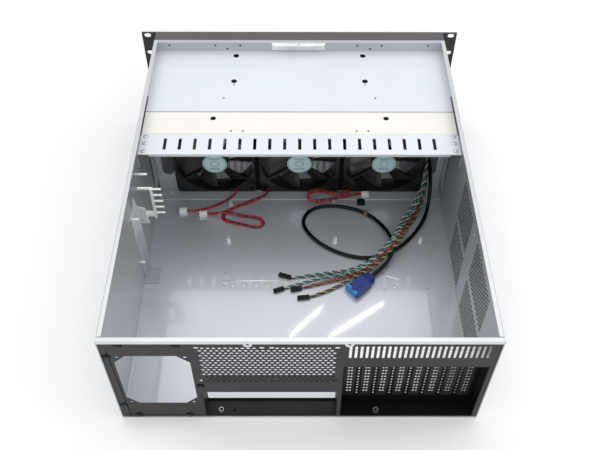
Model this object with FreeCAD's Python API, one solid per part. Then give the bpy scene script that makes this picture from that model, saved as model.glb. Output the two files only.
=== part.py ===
import FreeCAD, Part
import math
import os
from FreeCAD import Vector

# Empty 4U rackmount server case, lid off.  Millimetres, +Z up.
# X runs across the case, the front panel is at -Y and the rear panel at +Y.
# The origin is the bottom centre of the case's box.
# Distances called "from the front" start at the outer face of the front panel.

# ---------------------------------------------------------------- driving sizes
CASE_WIDTH = 440.0
CASE_DEPTH = 550.0
CASE_HEIGHT = 177.0
RACK_PANEL_WIDTH = 482.6
SHEET = 1.2
FIT = 0.3                      # clearance between pieces that lie side by side
SCREW_HOLE_RADIUS = 1.7
LIP_WIDTH = 6.0
REAR_NOTCH = 6.0               # the side lips stop this far before the rear
PANEL_DEPTH = 21.0             # front panel tray, front to back
TOP_DROP = 18.5                # inner top plates lie this far below the lips

EAR_SLOT_MARGIN = 5.95         # outer ear slots, in from the panel's top and bottom
EAR_SLOT_INNER = 50.8          # inner ear slots, from the panel's middle
EAR_SLOT_SIDE = 8.75           # ear slots, in from the panel's ends
EAR_SLOT_LENGTH = 10.0
EAR_SLOT_WIDTH = 7.0

FAN_SIZE = 120.0
FAN_DEPTH = 25.0
FAN_PITCH = 127.0
FAN_BORE = 115.0
FAN_SCREW_PITCH = 105.0
FAN_HUB = 40.0
FAN_BLADES = 7
FAN_LABEL = 36.5
FAN_FLANGE = 3.5
SHAFT_RADIUS = 2.0
SHAFT_PLAY = 0.05

WALL_PLANE = 163.0             # fan wall sheet, from the front
WALL_FLANGE_END = 207.0        # rear edge of the fan wall's top flange
WALL_FOOT_END = 186.5          # rear edge of its foot
WALL_FLANGE_DEPTH = 24.0       # its side flanges, towards the rear
CABLE_CUT_INNER = 190.0
CABLE_CUT_OUTER = 208.0
CABLE_CUT_BOTTOM = 34.0

CROSSBAR_DEPTH = 40.5
CROSSBAR_SLOTS = 19
SLOT_PITCH = 20.32
CROSSBAR_SLOT_WIDTH = 4.4
CROSSBAR_SLOT_START = 9.2      # from the crossbar's front edge
CROSSBAR_SLOT_LENGTH = 22.0
CROSSBAR_FOLD = 4.2

RECESS_DEPTH = 21.0            # recessed rear wall, in from the rear panel
RIGHT_STRIP = 6.4              # rear panel left of the slot pocket, at the -X wall
SLOT_COUNT = 8
SLOT_POCKET_WIDTH = 164.8
SLOT_POCKET_TOP = 121.6
SLOT_OPENING_WIDTH = 13.4
SLOT_BOTTOM = 14.0
SLOT_TOP = 108.0
DIVIDER = 2.8
IO_POCKET_WIDTH = 162.3
IO_POCKET_TOP = 63.8
IO_WIDTH = 158.75
IO_HEIGHT = 44.45
IO_BOTTOM = 6.5

PSU_LEFT_MARGIN = 13.0         # from the +X outer wall to the opening
PSU_WIDTH = 84.5
PSU_BOTTOM = 34.9
PSU_HEIGHT = 110.0
PSU_CHAMFER = 14.0
PSU_SCREW_X = 75.0
PSU_SCREW_Z = 103.7

REAR_FAN_SCREWS = 71.5
REAR_FAN_CENTRES = (-4.7, 77.4)
REAR_FAN_DROP = 51.2           # from the case's top

VENT_SLOTS = 26
VENT_SLOT_PITCH = 6.07
VENT_SLOT_WIDTH = 3.2
VENT_SLOT_DROP = 12.2          # from the case's top to the slots
VENT_SLOT_HEIGHT = 25.3
VENT_SLOT_MARGIN = 13.2        # first slot, from the -X outer wall

# ---------------------------------------------------------------- worked out
HALF = CASE_WIDTH / 2
INNER = HALF - SHEET
FRONT = -CASE_DEPTH / 2
REAR = CASE_DEPTH / 2
TOP = CASE_HEIGHT
PLATE_TOP = CASE_HEIGHT - TOP_DROP
FLOOR = SHEET
SLOT_POCKET_MIN = -HALF + RIGHT_STRIP
SLOT_POCKET_MAX = SLOT_POCKET_MIN + SLOT_POCKET_WIDTH
IO_POCKET_MIN = SLOT_POCKET_MAX + DIVIDER
IO_POCKET_MAX = IO_POCKET_MIN + IO_POCKET_WIDTH
SLOT_CENTRE = (SLOT_POCKET_MIN + SLOT_POCKET_MAX) / 2
RECESS_FACE = REAR - SHEET - RECESS_DEPTH
FAN_REAR = FRONT + WALL_PLANE + 8.0
FAN_FRONT = FAN_REAR - FAN_DEPTH
FAN_BOTTOM = FLOOR + SHEET + FIT
FAN_Z = FAN_BOTTOM + FAN_SIZE / 2
PSU_MAX = HALF - PSU_LEFT_MARGIN
PSU_MIN = PSU_MAX - PSU_WIDTH
PSU_TOP = PSU_BOTTOM + PSU_HEIGHT
REAR_FAN_Z = TOP - REAR_FAN_DROP
VENT_SLOT_TOP = TOP - VENT_SLOT_DROP
EAR_SLOT_X = RACK_PANEL_WIDTH / 2 - EAR_SLOT_SIDE
EAR_SLOT_OUTER = TOP / 2 - EAR_SLOT_MARGIN
WALL_EDGE = INNER - 2.0        # side edges of the sheets that stand clear of the walls


def from_front(distance):
    return FRONT + distance


# ---------------------------------------------------------------- basic shapes
def box(x0, x1, y0, y1, z0, z1):
    return Part.makeBox(x1 - x0, y1 - y0, z1 - z0, Vector(x0, y0, z0))


def rod_x(x0, x1, y, z, radius):
    return Part.makeCylinder(radius, x1 - x0, Vector(x0, y, z), Vector(1, 0, 0))


def rod_y(x, y0, y1, z, radius):
    return Part.makeCylinder(radius, y1 - y0, Vector(x, y0, z), Vector(0, 1, 0))


def rod_z(x, y, z0, z1, radius):
    return Part.makeCylinder(radius, z1 - z0, Vector(x, y, z0), Vector(0, 0, 1))


def prism_y(points, y0, y1):
    wire = Part.makePolygon([Vector(x, y0, z) for x, z in points + points[:1]])
    return Part.Face(wire).extrude(Vector(0, y1 - y0, 0))


def prism_x(points, x0, x1):
    wire = Part.makePolygon([Vector(x0, y, z) for y, z in points + points[:1]])
    return Part.Face(wire).extrude(Vector(x1 - x0, 0, 0))


def prism_z(points, z0, z1):
    wire = Part.makePolygon([Vector(x, y, z0) for x, y in points + points[:1]])
    return Part.Face(wire).extrude(Vector(0, 0, z1 - z0))


def hexagon(u, v, across, stretch=0.0):
    """Six corners of a hexagon, standing on a point, drawn out by stretch in v."""
    radius = across / math.sqrt(3)
    half = stretch / 2
    side = across / 2
    return [(u, v - radius - half), (u + side, v - radius / 2 - half), (u + side, v + radius / 2 + half),
            (u, v + radius + half), (u - side, v + radius / 2 + half), (u - side, v - radius / 2 - half)]


def stadium_y(x, z, length, width, y0, y1):
    """A slot lying along X, cut through Y."""
    half = (length - width) / 2
    slot = box(x - half, x + half, y0, y1, z - width / 2, z + width / 2)
    ends = [rod_y(x - half, y0, y1, z, width / 2), rod_y(x + half, y0, y1, z, width / 2)]
    return slot.fuse(ends).removeSplitter()


def fuse(shapes):
    return shapes[0].fuse(shapes[1:]).removeSplitter()


def cut(shape, tools):
    return shape.cut(tools)


def mirror_x(shape):
    return shape.mirror(Vector(0, 0, 0), Vector(1, 0, 0))


PARTS = {}


def keep(name, shape):
    PARTS[name] = shape


# ---------------------------------------------------------------- chassis tub
SIDE_VENTS = ((285.0, 356.0, 79.0, 150.0), (287.0, 358.0, 6.0, 72.0),
              (390.0, 480.0, 81.0, 150.0), (389.0, 479.0, 6.0, 72.0))
SIDE_VENT_COLUMNS = 6
SIDE_VENT_ROWS = 5
SIDE_VENT_SHARE = 0.7          # hole size as a share of the smaller pitch
FLOOR_HOLES = ((105.4, 328.3), (106.1, 351.7), (-179.4, 356.0), (-120.1, 357.6))
FLOOR_HOLE_RADIUS = 1.7


def side_vent(front, rear, low, high):
    """Hexagonal holes in the -X wall, each row shifted by half a pitch."""
    tools = []
    pitch_y = (rear - front) / (SIDE_VENT_COLUMNS + 0.5)
    pitch_z = (high - low) / SIDE_VENT_ROWS
    across = SIDE_VENT_SHARE * min(pitch_y, pitch_z)
    for row in range(SIDE_VENT_ROWS):
        shift = 0.5 + 0.5 * (row % 2)
        z = low + pitch_z * (row + 0.5)
        for column in range(SIDE_VENT_COLUMNS):
            y = from_front(front + pitch_y * (column + shift))
            tools.append(prism_x(hexagon(y, z, across), -HALF - 1, -INNER + 1))
    return tools


def chassis_tub():
    front = from_front(PANEL_DEPTH)
    floor = box(-HALF, HALF, front, REAR, 0, SHEET)
    wall = box(INNER, HALF, front, REAR, 0, TOP)
    lip = box(HALF - LIP_WIDTH, HALF, front, REAR - REAR_NOTCH, TOP - SHEET, TOP)
    tub = fuse([floor, wall, lip, mirror_x(wall), mirror_x(lip)])
    tools = []
    for vent in SIDE_VENTS:
        tools += side_vent(*vent)
    for x, distance in FLOOR_HOLES:
        tools.append(rod_z(x, from_front(distance), -1, SHEET + 1, FLOOR_HOLE_RADIUS))
    return cut(tub, tools)


# ---------------------------------------------------------------- front panel
INTAKE_SLOTS = 10
INTAKE_ROWS = 2
INTAKE_SLOT_WIDTH = 6.0
INTAKE_SLOT_HEIGHT = 46.0
INTAKE_BOTTOM = 30.0
INTAKE_ROW_GAP = 8.0
INTAKE_SLOT_GAP = 5.4
PANEL_SIDE = HALF - 1.0
CONTROL_X = 17.0 - HALF
POWER_Z = TOP - 37.0
RESET_Z = TOP - 55.0
LIGHT_PITCH = 9.0
LIGHT_FIRST_Z = TOP - 69.0
USB_TOP_Z = TOP - 93.0
USB_PITCH = 20.0
POWER_RADIUS = 6.0
RESET_RADIUS = 3.0
LIGHT_RADIUS = 2.0
LIGHT_PLAY = 0.1
BUTTON_PLAY = 0.3
BUTTON_TRAVEL = 2.0
USB_PORT_WIDTH = 13.4
USB_PORT_HEIGHT = 5.8


def intake_slots(y0, y1):
    tools = []
    for centre in (-FAN_PITCH, 0.0, FAN_PITCH):
        for row in range(INTAKE_ROWS):
            low = INTAKE_BOTTOM + row * (INTAKE_SLOT_HEIGHT + INTAKE_ROW_GAP)
            for index in range(INTAKE_SLOTS):
                x = centre + (index - (INTAKE_SLOTS - 1) / 2) * (INTAKE_SLOT_WIDTH + INTAKE_SLOT_GAP)
                half = INTAKE_SLOT_WIDTH / 2
                tools.append(box(x - half, x + half, y0, y1, low, low + INTAKE_SLOT_HEIGHT))
    return tools


def front_panel():
    back = from_front(PANEL_DEPTH)
    inside = FRONT + SHEET
    half = RACK_PANEL_WIDTH / 2
    face = box(-half, half, FRONT, inside, 0, TOP)
    top = box(-PANEL_SIDE, PANEL_SIDE, FRONT, back, TOP - SHEET, TOP)
    bottom = box(-PANEL_SIDE, PANEL_SIDE, FRONT, back, 0, SHEET)
    side = box(PANEL_SIDE - SHEET, PANEL_SIDE, FRONT, back, 0, TOP)
    tray = fuse([face, top, bottom, side, mirror_x(side)])
    tools = intake_slots(FRONT - 1, inside + 1)
    for offset in (-EAR_SLOT_OUTER, -EAR_SLOT_INNER, EAR_SLOT_INNER, EAR_SLOT_OUTER):
        for x in (-EAR_SLOT_X, EAR_SLOT_X):
            z = TOP / 2 + offset
            tools.append(stadium_y(x, z, EAR_SLOT_LENGTH, EAR_SLOT_WIDTH, FRONT - 1, inside + 1))
    tools.append(rod_y(CONTROL_X, FRONT - 1, inside + 1, POWER_Z, POWER_RADIUS + BUTTON_PLAY))
    tools.append(rod_y(CONTROL_X, FRONT - 1, inside + 1, RESET_Z, RESET_RADIUS + BUTTON_PLAY))
    for index in range(2):
        z = LIGHT_FIRST_Z - index * LIGHT_PITCH
        tools.append(rod_y(CONTROL_X, FRONT - 1, inside + 1, z, LIGHT_RADIUS + LIGHT_PLAY))
        low = USB_TOP_Z - index * USB_PITCH
        tools.append(box(CONTROL_X - USB_PORT_WIDTH / 2, CONTROL_X + USB_PORT_WIDTH / 2,
                         FRONT - 1, inside + 1, low - USB_PORT_HEIGHT, low))
    return cut(tray, tools)


# ---------------------------------------------------------------- front controls
BOARD_Y0 = FRONT + 12.0
BOARD_SHEET = 1.6
BOARD_HALF = 10.0
BOARD_BOTTOM = USB_TOP_Z - 32.0
BOARD_TOP = TOP - 22.0
BOARD_POST_INSET = 2.5         # posts, in from the board's side edges
BOARD_POST_RADIUS = 2.0
SOCKET_WALL = 0.4
SOCKET_FIT = 0.2


def front_board():
    """Port board behind the front panel, on two stand-offs from its face."""
    inside = FRONT + SHEET
    board = box(CONTROL_X - BOARD_HALF, CONTROL_X + BOARD_HALF, BOARD_Y0, BOARD_Y0 + BOARD_SHEET,
                BOARD_BOTTOM, BOARD_TOP)
    reach = BOARD_HALF - BOARD_POST_INSET
    low_post = rod_y(CONTROL_X - reach, inside, BOARD_Y0, BOARD_BOTTOM + 4.0, BOARD_POST_RADIUS)
    high_post = rod_y(CONTROL_X + reach, inside, BOARD_Y0, BOARD_TOP - 3.5, BOARD_POST_RADIUS)
    return fuse([board, low_post, high_post])


def usb_socket(index):
    """Open metal shell with its tongue."""
    high = USB_TOP_Z - index * USB_PITCH - SOCKET_FIT
    low = high - USB_PORT_HEIGHT + 2 * SOCKET_FIT
    half = USB_PORT_WIDTH / 2 - SOCKET_FIT
    inner = half - SOCKET_WALL
    tongue_half = half - 3 * SOCKET_WALL
    back = BOARD_Y0 - 2 * SOCKET_WALL
    shell = box(CONTROL_X - half, CONTROL_X + half, FRONT, BOARD_Y0, low, high)
    hollow = box(CONTROL_X - inner, CONTROL_X + inner, FRONT - 1, back, low + SOCKET_WALL, high - SOCKET_WALL)
    tongue = box(CONTROL_X - tongue_half, CONTROL_X + tongue_half, FRONT + 0.6, back, low + 1.4, low + 3.0)
    return fuse([cut(shell, [hollow]), tongue])


def push_button(z, radius):
    """Round cap, flush with the panel, with a shoulder that stays behind it."""
    inside = FRONT + SHEET + BUTTON_PLAY
    stem = rod_y(CONTROL_X, FRONT, inside, z, radius)
    shoulder = rod_y(CONTROL_X, inside, inside + 1.5, z, radius + 1.2)
    plunger = rod_y(CONTROL_X, inside + 1.5, BOARD_Y0 - BUTTON_TRAVEL - BUTTON_PLAY - 3.0, z, radius * 0.4)
    return fuse([stem, shoulder, plunger])


def switch_body(z, radius):
    """Switch on the port board that the plunger pushes."""
    y0 = BOARD_Y0 - BUTTON_TRAVEL - BUTTON_PLAY - 3.0
    body = box(CONTROL_X - radius, CONTROL_X + radius, y0, BOARD_Y0, z - radius, z + radius)
    well = rod_y(CONTROL_X, y0 - 1, BOARD_Y0 - 0.5, z, radius * 0.4 + BUTTON_PLAY)
    return cut(body, [well])


def light_lens(index):
    z = LIGHT_FIRST_Z - index * LIGHT_PITCH
    inside = FRONT + SHEET
    dome = rod_y(CONTROL_X, FRONT, inside, z, LIGHT_RADIUS)
    base = rod_y(CONTROL_X, inside, BOARD_Y0, z, LIGHT_RADIUS + 0.4)
    return fuse([dome, base])


# ---------------------------------------------------------------- bulkhead and bracket
BULKHEAD_HOLES = ((197.3, 9.0), (127.6, 9.0), (90.0, 9.0), (-87.7, 9.0), (-125.0, 9.0), (-195.5, 9.0),
                  (109.9, 15.0), (-107.6, 15.0))       # X and the distance below the top
BULKHEAD_HOLE_RADIUS = 1.6
BULKHEAD_LIP = 6.0
BULKHEAD_FOOT = 14.0
BULKHEAD_WINDOW_HALF = 57.0
BULKHEAD_WINDOW_BOTTOM = 26.0
BULKHEAD_WINDOW_DROP = 41.0    # from the case's top to the windows
BOARD_WINDOW_MARGIN = 2.0


def front_bulkhead():
    y0 = from_front(PANEL_DEPTH)
    y1 = y0 + SHEET
    sheet = box(-INNER, INNER, y0, y1, FLOOR, TOP - SHEET)
    foot = box(-INNER, INNER, y0, y0 + BULKHEAD_FOOT, FLOOR, FLOOR + SHEET)
    lip = box(-HALF + LIP_WIDTH, HALF - LIP_WIDTH, y0, y0 + BULKHEAD_LIP, TOP - SHEET, TOP)
    plate = fuse([sheet, foot, lip])
    tools = []
    for centre in (-FAN_PITCH, 0.0, FAN_PITCH):
        tools.append(box(centre - BULKHEAD_WINDOW_HALF, centre + BULKHEAD_WINDOW_HALF, y0 - 1, y1 + 1,
                         BULKHEAD_WINDOW_BOTTOM, TOP - BULKHEAD_WINDOW_DROP))
    half = BOARD_HALF + BOARD_WINDOW_MARGIN
    tools.append(box(CONTROL_X - half, CONTROL_X + half, y0 - 1, y1 + 1,
                     BOARD_BOTTOM - 3 * BOARD_WINDOW_MARGIN, BOARD_TOP - BOARD_WINDOW_MARGIN))
    for x, drop in BULKHEAD_HOLES:
        tools.append(rod_y(x, y0 - 1, y1 + 1, TOP - drop, BULKHEAD_HOLE_RADIUS))
    return cut(plate, tools)


BRACKET_MIN = -39.0
BRACKET_MAX = 41.6
BRACKET_END = 35.0
BRACKET_CORNER = 4.0
BRACKET_HOLE = 31.0            # from the front
BRACKET_LEG_GAP = 2.0          # from the leg down to the drive bay cover


def front_bracket():
    """Tab that carries the lid's latch, hooked over the bulkhead."""
    y0 = from_front(PANEL_DEPTH) + BULKHEAD_LIP
    y1 = from_front(BRACKET_END)
    back = from_front(PANEL_DEPTH) + SHEET
    corner = BRACKET_CORNER
    top = prism_z([(BRACKET_MIN, y0), (BRACKET_MAX, y0), (BRACKET_MAX, y1 - corner), (BRACKET_MAX - corner, y1),
                   (BRACKET_MIN + corner, y1), (BRACKET_MIN, y1 - corner)], TOP - SHEET, TOP)
    under = box(BRACKET_MIN, BRACKET_MAX, back, y0 + SHEET, TOP - 2 * SHEET, TOP - SHEET)
    leg = box(BRACKET_MIN, BRACKET_MAX, back, back + SHEET, PLATE_TOP + BRACKET_LEG_GAP, TOP - 2 * SHEET)
    middle = (BRACKET_MIN + BRACKET_MAX) / 2
    hole = rod_z(middle, from_front(BRACKET_HOLE), TOP - 3, TOP + 1, SCREW_HOLE_RADIUS)
    return cut(fuse([top, under, leg]), [hole])


# ---------------------------------------------------------------- drive bay cover
COVER_NOTCH = 128.6            # behind this the cover stands clear of the walls
COVER_REAR_GAP = 0.8           # from the cover to the fan wall
COVER_FRONT_FOLD = 16.0
COVER_SIDE_FOLD = 20.0
COVER_REAR_FOLD = 10.0
COVER_HOLES = ((96.0, 34.9, 3.5), (96.0, 95.0, 3.5), (95.7, 103.0, 1.2), (108.8, 132.5, 1.2))


def drive_bay_cover():
    y0 = from_front(PANEL_DEPTH) + SHEET + BULKHEAD_LIP
    y1 = from_front(WALL_PLANE) - COVER_REAR_GAP
    notch = from_front(COVER_NOTCH)
    edge = WALL_EDGE
    low = PLATE_TOP - SHEET
    plate = prism_z([(-INNER, y0), (INNER, y0), (INNER, notch), (edge, notch), (edge, y1),
                     (-edge, y1), (-edge, notch), (-INNER, notch)], low, PLATE_TOP)
    start = from_front(PANEL_DEPTH) + SHEET
    lead_in = box(-INNER, INNER, start, y0, low, PLATE_TOP)
    front = box(-INNER, INNER, start, start + SHEET, low - COVER_FRONT_FOLD, low)
    side = box(INNER - SHEET, INNER, y0, notch, low - COVER_SIDE_FOLD, low)
    rear = box(-edge, edge, y1 - SHEET, y1, low - COVER_REAR_FOLD, low)
    shape = fuse([plate, lead_in, front, side, mirror_x(side), rear])
    tools = []
    for x, distance, radius in COVER_HOLES:
        for sign in (-1, 1):
            tools.append(rod_z(sign * x, from_front(distance), low - 1, PLATE_TOP + 1, radius))
    return cut(shape, tools)


# ---------------------------------------------------------------- fan wall
WALL_FLANGE_HOLES = ((121.0, 175.8, 4.0), (94.7, 201.5, 1.5), (78.4, 201.5, 1.5))
WALL_SIDE_BOTTOM = 30.0
FAN_WINDOW_PLAY = 0.3
MOUNT_PLATE_MARGIN = 2.0       # beyond the outer fans
MOUNT_PLATE_FOOT = 14.0
FAN_SCREW_HOLE = 2.2
FAN_SCREW_HEAD = 4.0
FAN_SCREW_HEIGHT = 2.0
CABLE_CUT_DROP = 24.0          # from the wall's top to the cut-outs


def fan_centres():
    return (-FAN_PITCH, 0.0, FAN_PITCH)


def cable_cut(sign, y0, y1):
    radius = (CABLE_CUT_OUTER - CABLE_CUT_INNER) / 2
    x = sign * (CABLE_CUT_OUTER + CABLE_CUT_INNER) / 2
    z = CABLE_CUT_BOTTOM + radius
    slot = box(x - radius, x + radius, y0, y1, z, PLATE_TOP - CABLE_CUT_DROP)
    return fuse([slot, rod_y(x, y0, y1, z, radius)])


def fan_wall():
    y0 = from_front(WALL_PLANE)
    y1 = y0 + SHEET
    edge = WALL_EDGE
    top = box(-edge, edge, y0, from_front(WALL_FLANGE_END), PLATE_TOP - SHEET, PLATE_TOP)
    sheet = box(-edge, edge, y0, y1, FLOOR, PLATE_TOP)
    foot = box(-edge, edge, y0, from_front(WALL_FOOT_END), FLOOR, FLOOR + SHEET)
    side = box(edge - SHEET, edge, y0, y0 + WALL_FLANGE_DEPTH, WALL_SIDE_BOTTOM, PLATE_TOP)
    shape = fuse([top, sheet, foot, side, mirror_x(side)])
    tools = [cable_cut(-1, y0 - 1, y1 + 1), cable_cut(1, y0 - 1, y1 + 1)]
    half = FAN_SIZE / 2 + FAN_WINDOW_PLAY
    window_top = FAN_BOTTOM + FAN_SIZE + FAN_WINDOW_PLAY
    for x in fan_centres():
        tools.append(box(x - half, x + half, y0 - 1, y1 + 1, FLOOR + SHEET, window_top))
    for x, distance, radius in WALL_FLANGE_HOLES:
        for sign in (-1, 1):
            tools.append(rod_z(sign * x, from_front(distance), PLATE_TOP - SHEET - 1, PLATE_TOP + 1, radius))
    return cut(shape, tools)


def fan_screw_places():
    half = FAN_SCREW_PITCH / 2
    return [(x + sx * half, FAN_Z + sz * half) for x in fan_centres() for sx in (-1, 1) for sz in (-1, 1)]


def fan_mount_plate():
    """Sheet in front of the fans that they are screwed to."""
    y1 = FAN_FRONT
    y0 = y1 - SHEET
    half = FAN_PITCH + FAN_SIZE / 2 + MOUNT_PLATE_MARGIN
    sheet = box(-half, half, y0, y1, FLOOR, PLATE_TOP - SHEET)
    foot = box(-half, half, y0 - MOUNT_PLATE_FOOT, y1, FLOOR, FLOOR + SHEET)
    shape = fuse([sheet, foot])
    tools = [rod_y(x, y0 - 1, y1 + 1, FAN_Z, FAN_BORE / 2) for x in fan_centres()]
    tools += [rod_y(x, y0 - 1, y1 + 1, z, FAN_SCREW_HOLE) for x, z in fan_screw_places()]
    return cut(shape, tools)


def fan_screws():
    shapes = []
    for x, z in fan_screw_places():
        start = Vector(x, FAN_FRONT - SHEET - FAN_SCREW_HEIGHT, z)
        shapes.append(Part.makeCone(FAN_SCREW_HOLE, FAN_SCREW_HEAD, FAN_SCREW_HEIGHT, start, Vector(0, 1, 0)))
    return Part.makeCompound(shapes)


# ---------------------------------------------------------------- fans
MOTOR_RADIUS = 19.5
MOTOR_DEPTH = 4.0
STRUT_WIDTH = 4.0
STRUT_DEPTH = 3.0
BLADE_CLEARANCE = 1.0
CORNER_RADIUS = 4.5
DUCT_INSET = 0.4               # the duct's wall, in from the flanges' edges
MOTOR_INSET = 0.6              # the motor and its struts, in from the frame's rear
STRUT_ANGLES = (35.0, 145.0, 215.0, 325.0)
HUB_START = 2.0                # the hub, in from the frame's front
HUB_FILLET = 2.0
BLADE_HALF_THICKNESS = 0.7
BLADE_CAMBER = 1.6
BLADE_STATIONS = (-0.5, -0.17, 0.17, 0.5)
BLADE_ROOT_CHORD = 19.0
BLADE_ROOT_PITCH = 38.0
BLADE_TIP_CHORD = 36.0
BLADE_TIP_PITCH = 24.0
BLADE_SWEEP = 12.0
LABEL_THICKNESS = 0.3


def square_flange(x, y0, y1):
    half = FAN_SIZE / 2
    plate = box(x - half, x + half, y0, y1, FAN_Z - half, FAN_Z + half)
    upright = [edge for edge in plate.Edges if abs(edge.tangentAt(edge.FirstParameter).y) > 0.9]
    return plate.makeFillet(CORNER_RADIUS, upright)


def fan_frame(x):
    """Two square flanges, the round duct between them, and the motor's struts at the rear."""
    duct = rod_y(x, FAN_FRONT + FAN_FLANGE, FAN_REAR - FAN_FLANGE, FAN_Z, FAN_SIZE / 2 - DUCT_INSET)
    shell = fuse([square_flange(x, FAN_FRONT, FAN_FRONT + FAN_FLANGE), duct,
                  square_flange(x, FAN_REAR - FAN_FLANGE, FAN_REAR)])
    tools = [rod_y(x, FAN_FRONT - 1, FAN_REAR + 1, FAN_Z, FAN_BORE / 2)]
    half = FAN_SCREW_PITCH / 2
    for sx in (-1, 1):
        for sz in (-1, 1):
            tools.append(rod_y(x + sx * half, FAN_FRONT - 1, FAN_REAR + 1, FAN_Z + sz * half, FAN_SCREW_HOLE))
    shell = cut(shell, tools)
    back = FAN_REAR - MOTOR_INSET
    motor = rod_y(x, FAN_REAR - MOTOR_DEPTH, back, FAN_Z, MOTOR_RADIUS)
    shaft = rod_y(x, FAN_FRONT + 2 * HUB_START, FAN_REAR - MOTOR_DEPTH, FAN_Z, SHAFT_RADIUS)
    struts = []
    for angle in STRUT_ANGLES:
        strut = box(MOTOR_RADIUS - 2.0, FAN_BORE / 2 + 1.5, back - STRUT_DEPTH, back,
                    -STRUT_WIDTH / 2, STRUT_WIDTH / 2)
        strut.rotate(Vector(0, 0, 0), Vector(0, 1, 0), angle)
        strut.translate(Vector(x, 0, FAN_Z))
        struts.append(strut)
    return fuse([shell, motor, shaft] + struts)


def blade_section(radius, chord, pitch):
    """Thin cambered section of a blade, as a closed wire at this radius."""
    upper = []
    lower = []
    for station in BLADE_STATIONS:
        along = station * chord
        rise = BLADE_CAMBER * (1 - (2 * station) ** 2)
        tangent = along * math.cos(pitch) - rise * math.sin(pitch)
        axial = along * math.sin(pitch) + rise * math.cos(pitch)
        upper.append(Vector(tangent, axial + BLADE_HALF_THICKNESS, radius))
        lower.append(Vector(tangent, axial - BLADE_HALF_THICKNESS, radius))
    outline = upper + lower[::-1]
    return Part.makePolygon(outline + outline[:1])


def fan_rotor(x):
    """Open hub cap with swept, twisted blades that clear the duct and the struts."""
    hub_front = FAN_FRONT + HUB_START
    hub_rear = FAN_REAR - MOTOR_DEPTH - 1.0
    hub = rod_y(x, hub_front, hub_rear, FAN_Z, FAN_HUB / 2)
    hub = hub.makeFillet(HUB_FILLET, [edge for edge in hub.Edges if edge.CenterOfMass.y < hub_front + 0.1])
    bore = rod_y(x, hub_front + HUB_START, hub_rear + 1, FAN_Z, SHAFT_RADIUS + SHAFT_PLAY)
    middle = (hub_front + hub_rear) / 2
    root = blade_section(FAN_HUB / 2 - 1.0, BLADE_ROOT_CHORD, math.radians(BLADE_ROOT_PITCH))
    tip = blade_section(FAN_BORE / 2 + 3.0, BLADE_TIP_CHORD, math.radians(BLADE_TIP_PITCH))
    tip.rotate(Vector(0, 0, 0), Vector(0, 1, 0), BLADE_SWEEP)
    sweep = rod_y(0, -FAN_DEPTH, FAN_DEPTH, 0, FAN_BORE / 2 - BLADE_CLEARANCE)
    blade = Part.makeLoft([root, tip], True, True).common(sweep)
    blades = []
    for index in range(FAN_BLADES):
        copy = blade.copy()
        copy.rotate(Vector(0, 0, 0), Vector(0, 1, 0), index * 360.0 / FAN_BLADES)
        copy.translate(Vector(x, middle, FAN_Z))
        blades.append(copy)
    return cut(fuse([hub] + blades), [bore])


def fan_label(x):
    back = FAN_REAR - MOTOR_INSET
    return rod_y(x, back, back + LABEL_THICKNESS, FAN_Z, FAN_LABEL / 2)


# ---------------------------------------------------------------- crossbar
REST_WIDTH = 13.0
REST_LEG = 25.0
REST_INSET = 2.0               # the rest is this much shorter than the bar, at each end
CROSSBAR_SCREW_X = 8.5         # from the wall's inner face
CROSSBAR_SCREWS = (5.7, 19.2, 34.0)
SCREW_HEAD_RADIUS = 2.6
SCREW_HEAD_HEIGHT = 1.4
SCREW_CROWN = 0.55             # crown radius as a share of the head's


def crossbar_front():
    return from_front(WALL_FLANGE_END) + FIT


def crossbar():
    """Card hold-down bar: slotted top with folded edges."""
    y0 = crossbar_front()
    y1 = y0 + CROSSBAR_DEPTH
    half = WALL_EDGE
    low = PLATE_TOP - CROSSBAR_FOLD
    top = box(-half, half, y0, y1, PLATE_TOP - SHEET, PLATE_TOP)
    inset = REST_WIDTH + 1.0
    folds = [box(-half + inset, half - inset, y0, y0 + SHEET, low, PLATE_TOP),
             box(-half + inset, half - inset, y1 - SHEET, y1, low, PLATE_TOP)]
    bar = fuse([top] + folds)
    tools = []
    slot0 = y0 + CROSSBAR_SLOT_START
    for index in range(CROSSBAR_SLOTS):
        x = (index - (CROSSBAR_SLOTS - 1) / 2) * SLOT_PITCH
        tools.append(box(x - CROSSBAR_SLOT_WIDTH / 2, x + CROSSBAR_SLOT_WIDTH / 2,
                         slot0, slot0 + CROSSBAR_SLOT_LENGTH, PLATE_TOP - SHEET - 1, PLATE_TOP + 1))
    return cut(bar, tools)


def crossbar_rest():
    """Angle on the +X side wall that the crossbar's end is screwed to."""
    y0 = crossbar_front() + REST_INSET
    y1 = y0 + CROSSBAR_DEPTH - 2 * REST_INSET
    high = PLATE_TOP - SHEET
    leg = box(INNER - SHEET, INNER, y0, y1, high - REST_LEG, high)
    shelf = box(INNER - REST_WIDTH, INNER, y0, y1, high - SHEET, high)
    return fuse([leg, shelf])


def dome_screw(x, y, z):
    """Pan head seen from above, with a rounded crown."""
    return Part.makeCone(SCREW_HEAD_RADIUS, SCREW_HEAD_RADIUS * SCREW_CROWN, SCREW_HEAD_HEIGHT, Vector(x, y, z))


def crossbar_screws():
    shapes = []
    for sign in (-1, 1):
        x = sign * (INNER - CROSSBAR_SCREW_X)
        for distance in CROSSBAR_SCREWS:
            shapes.append(dome_screw(x, crossbar_front() + distance, PLATE_TOP))
    return Part.makeCompound(shapes)


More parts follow.
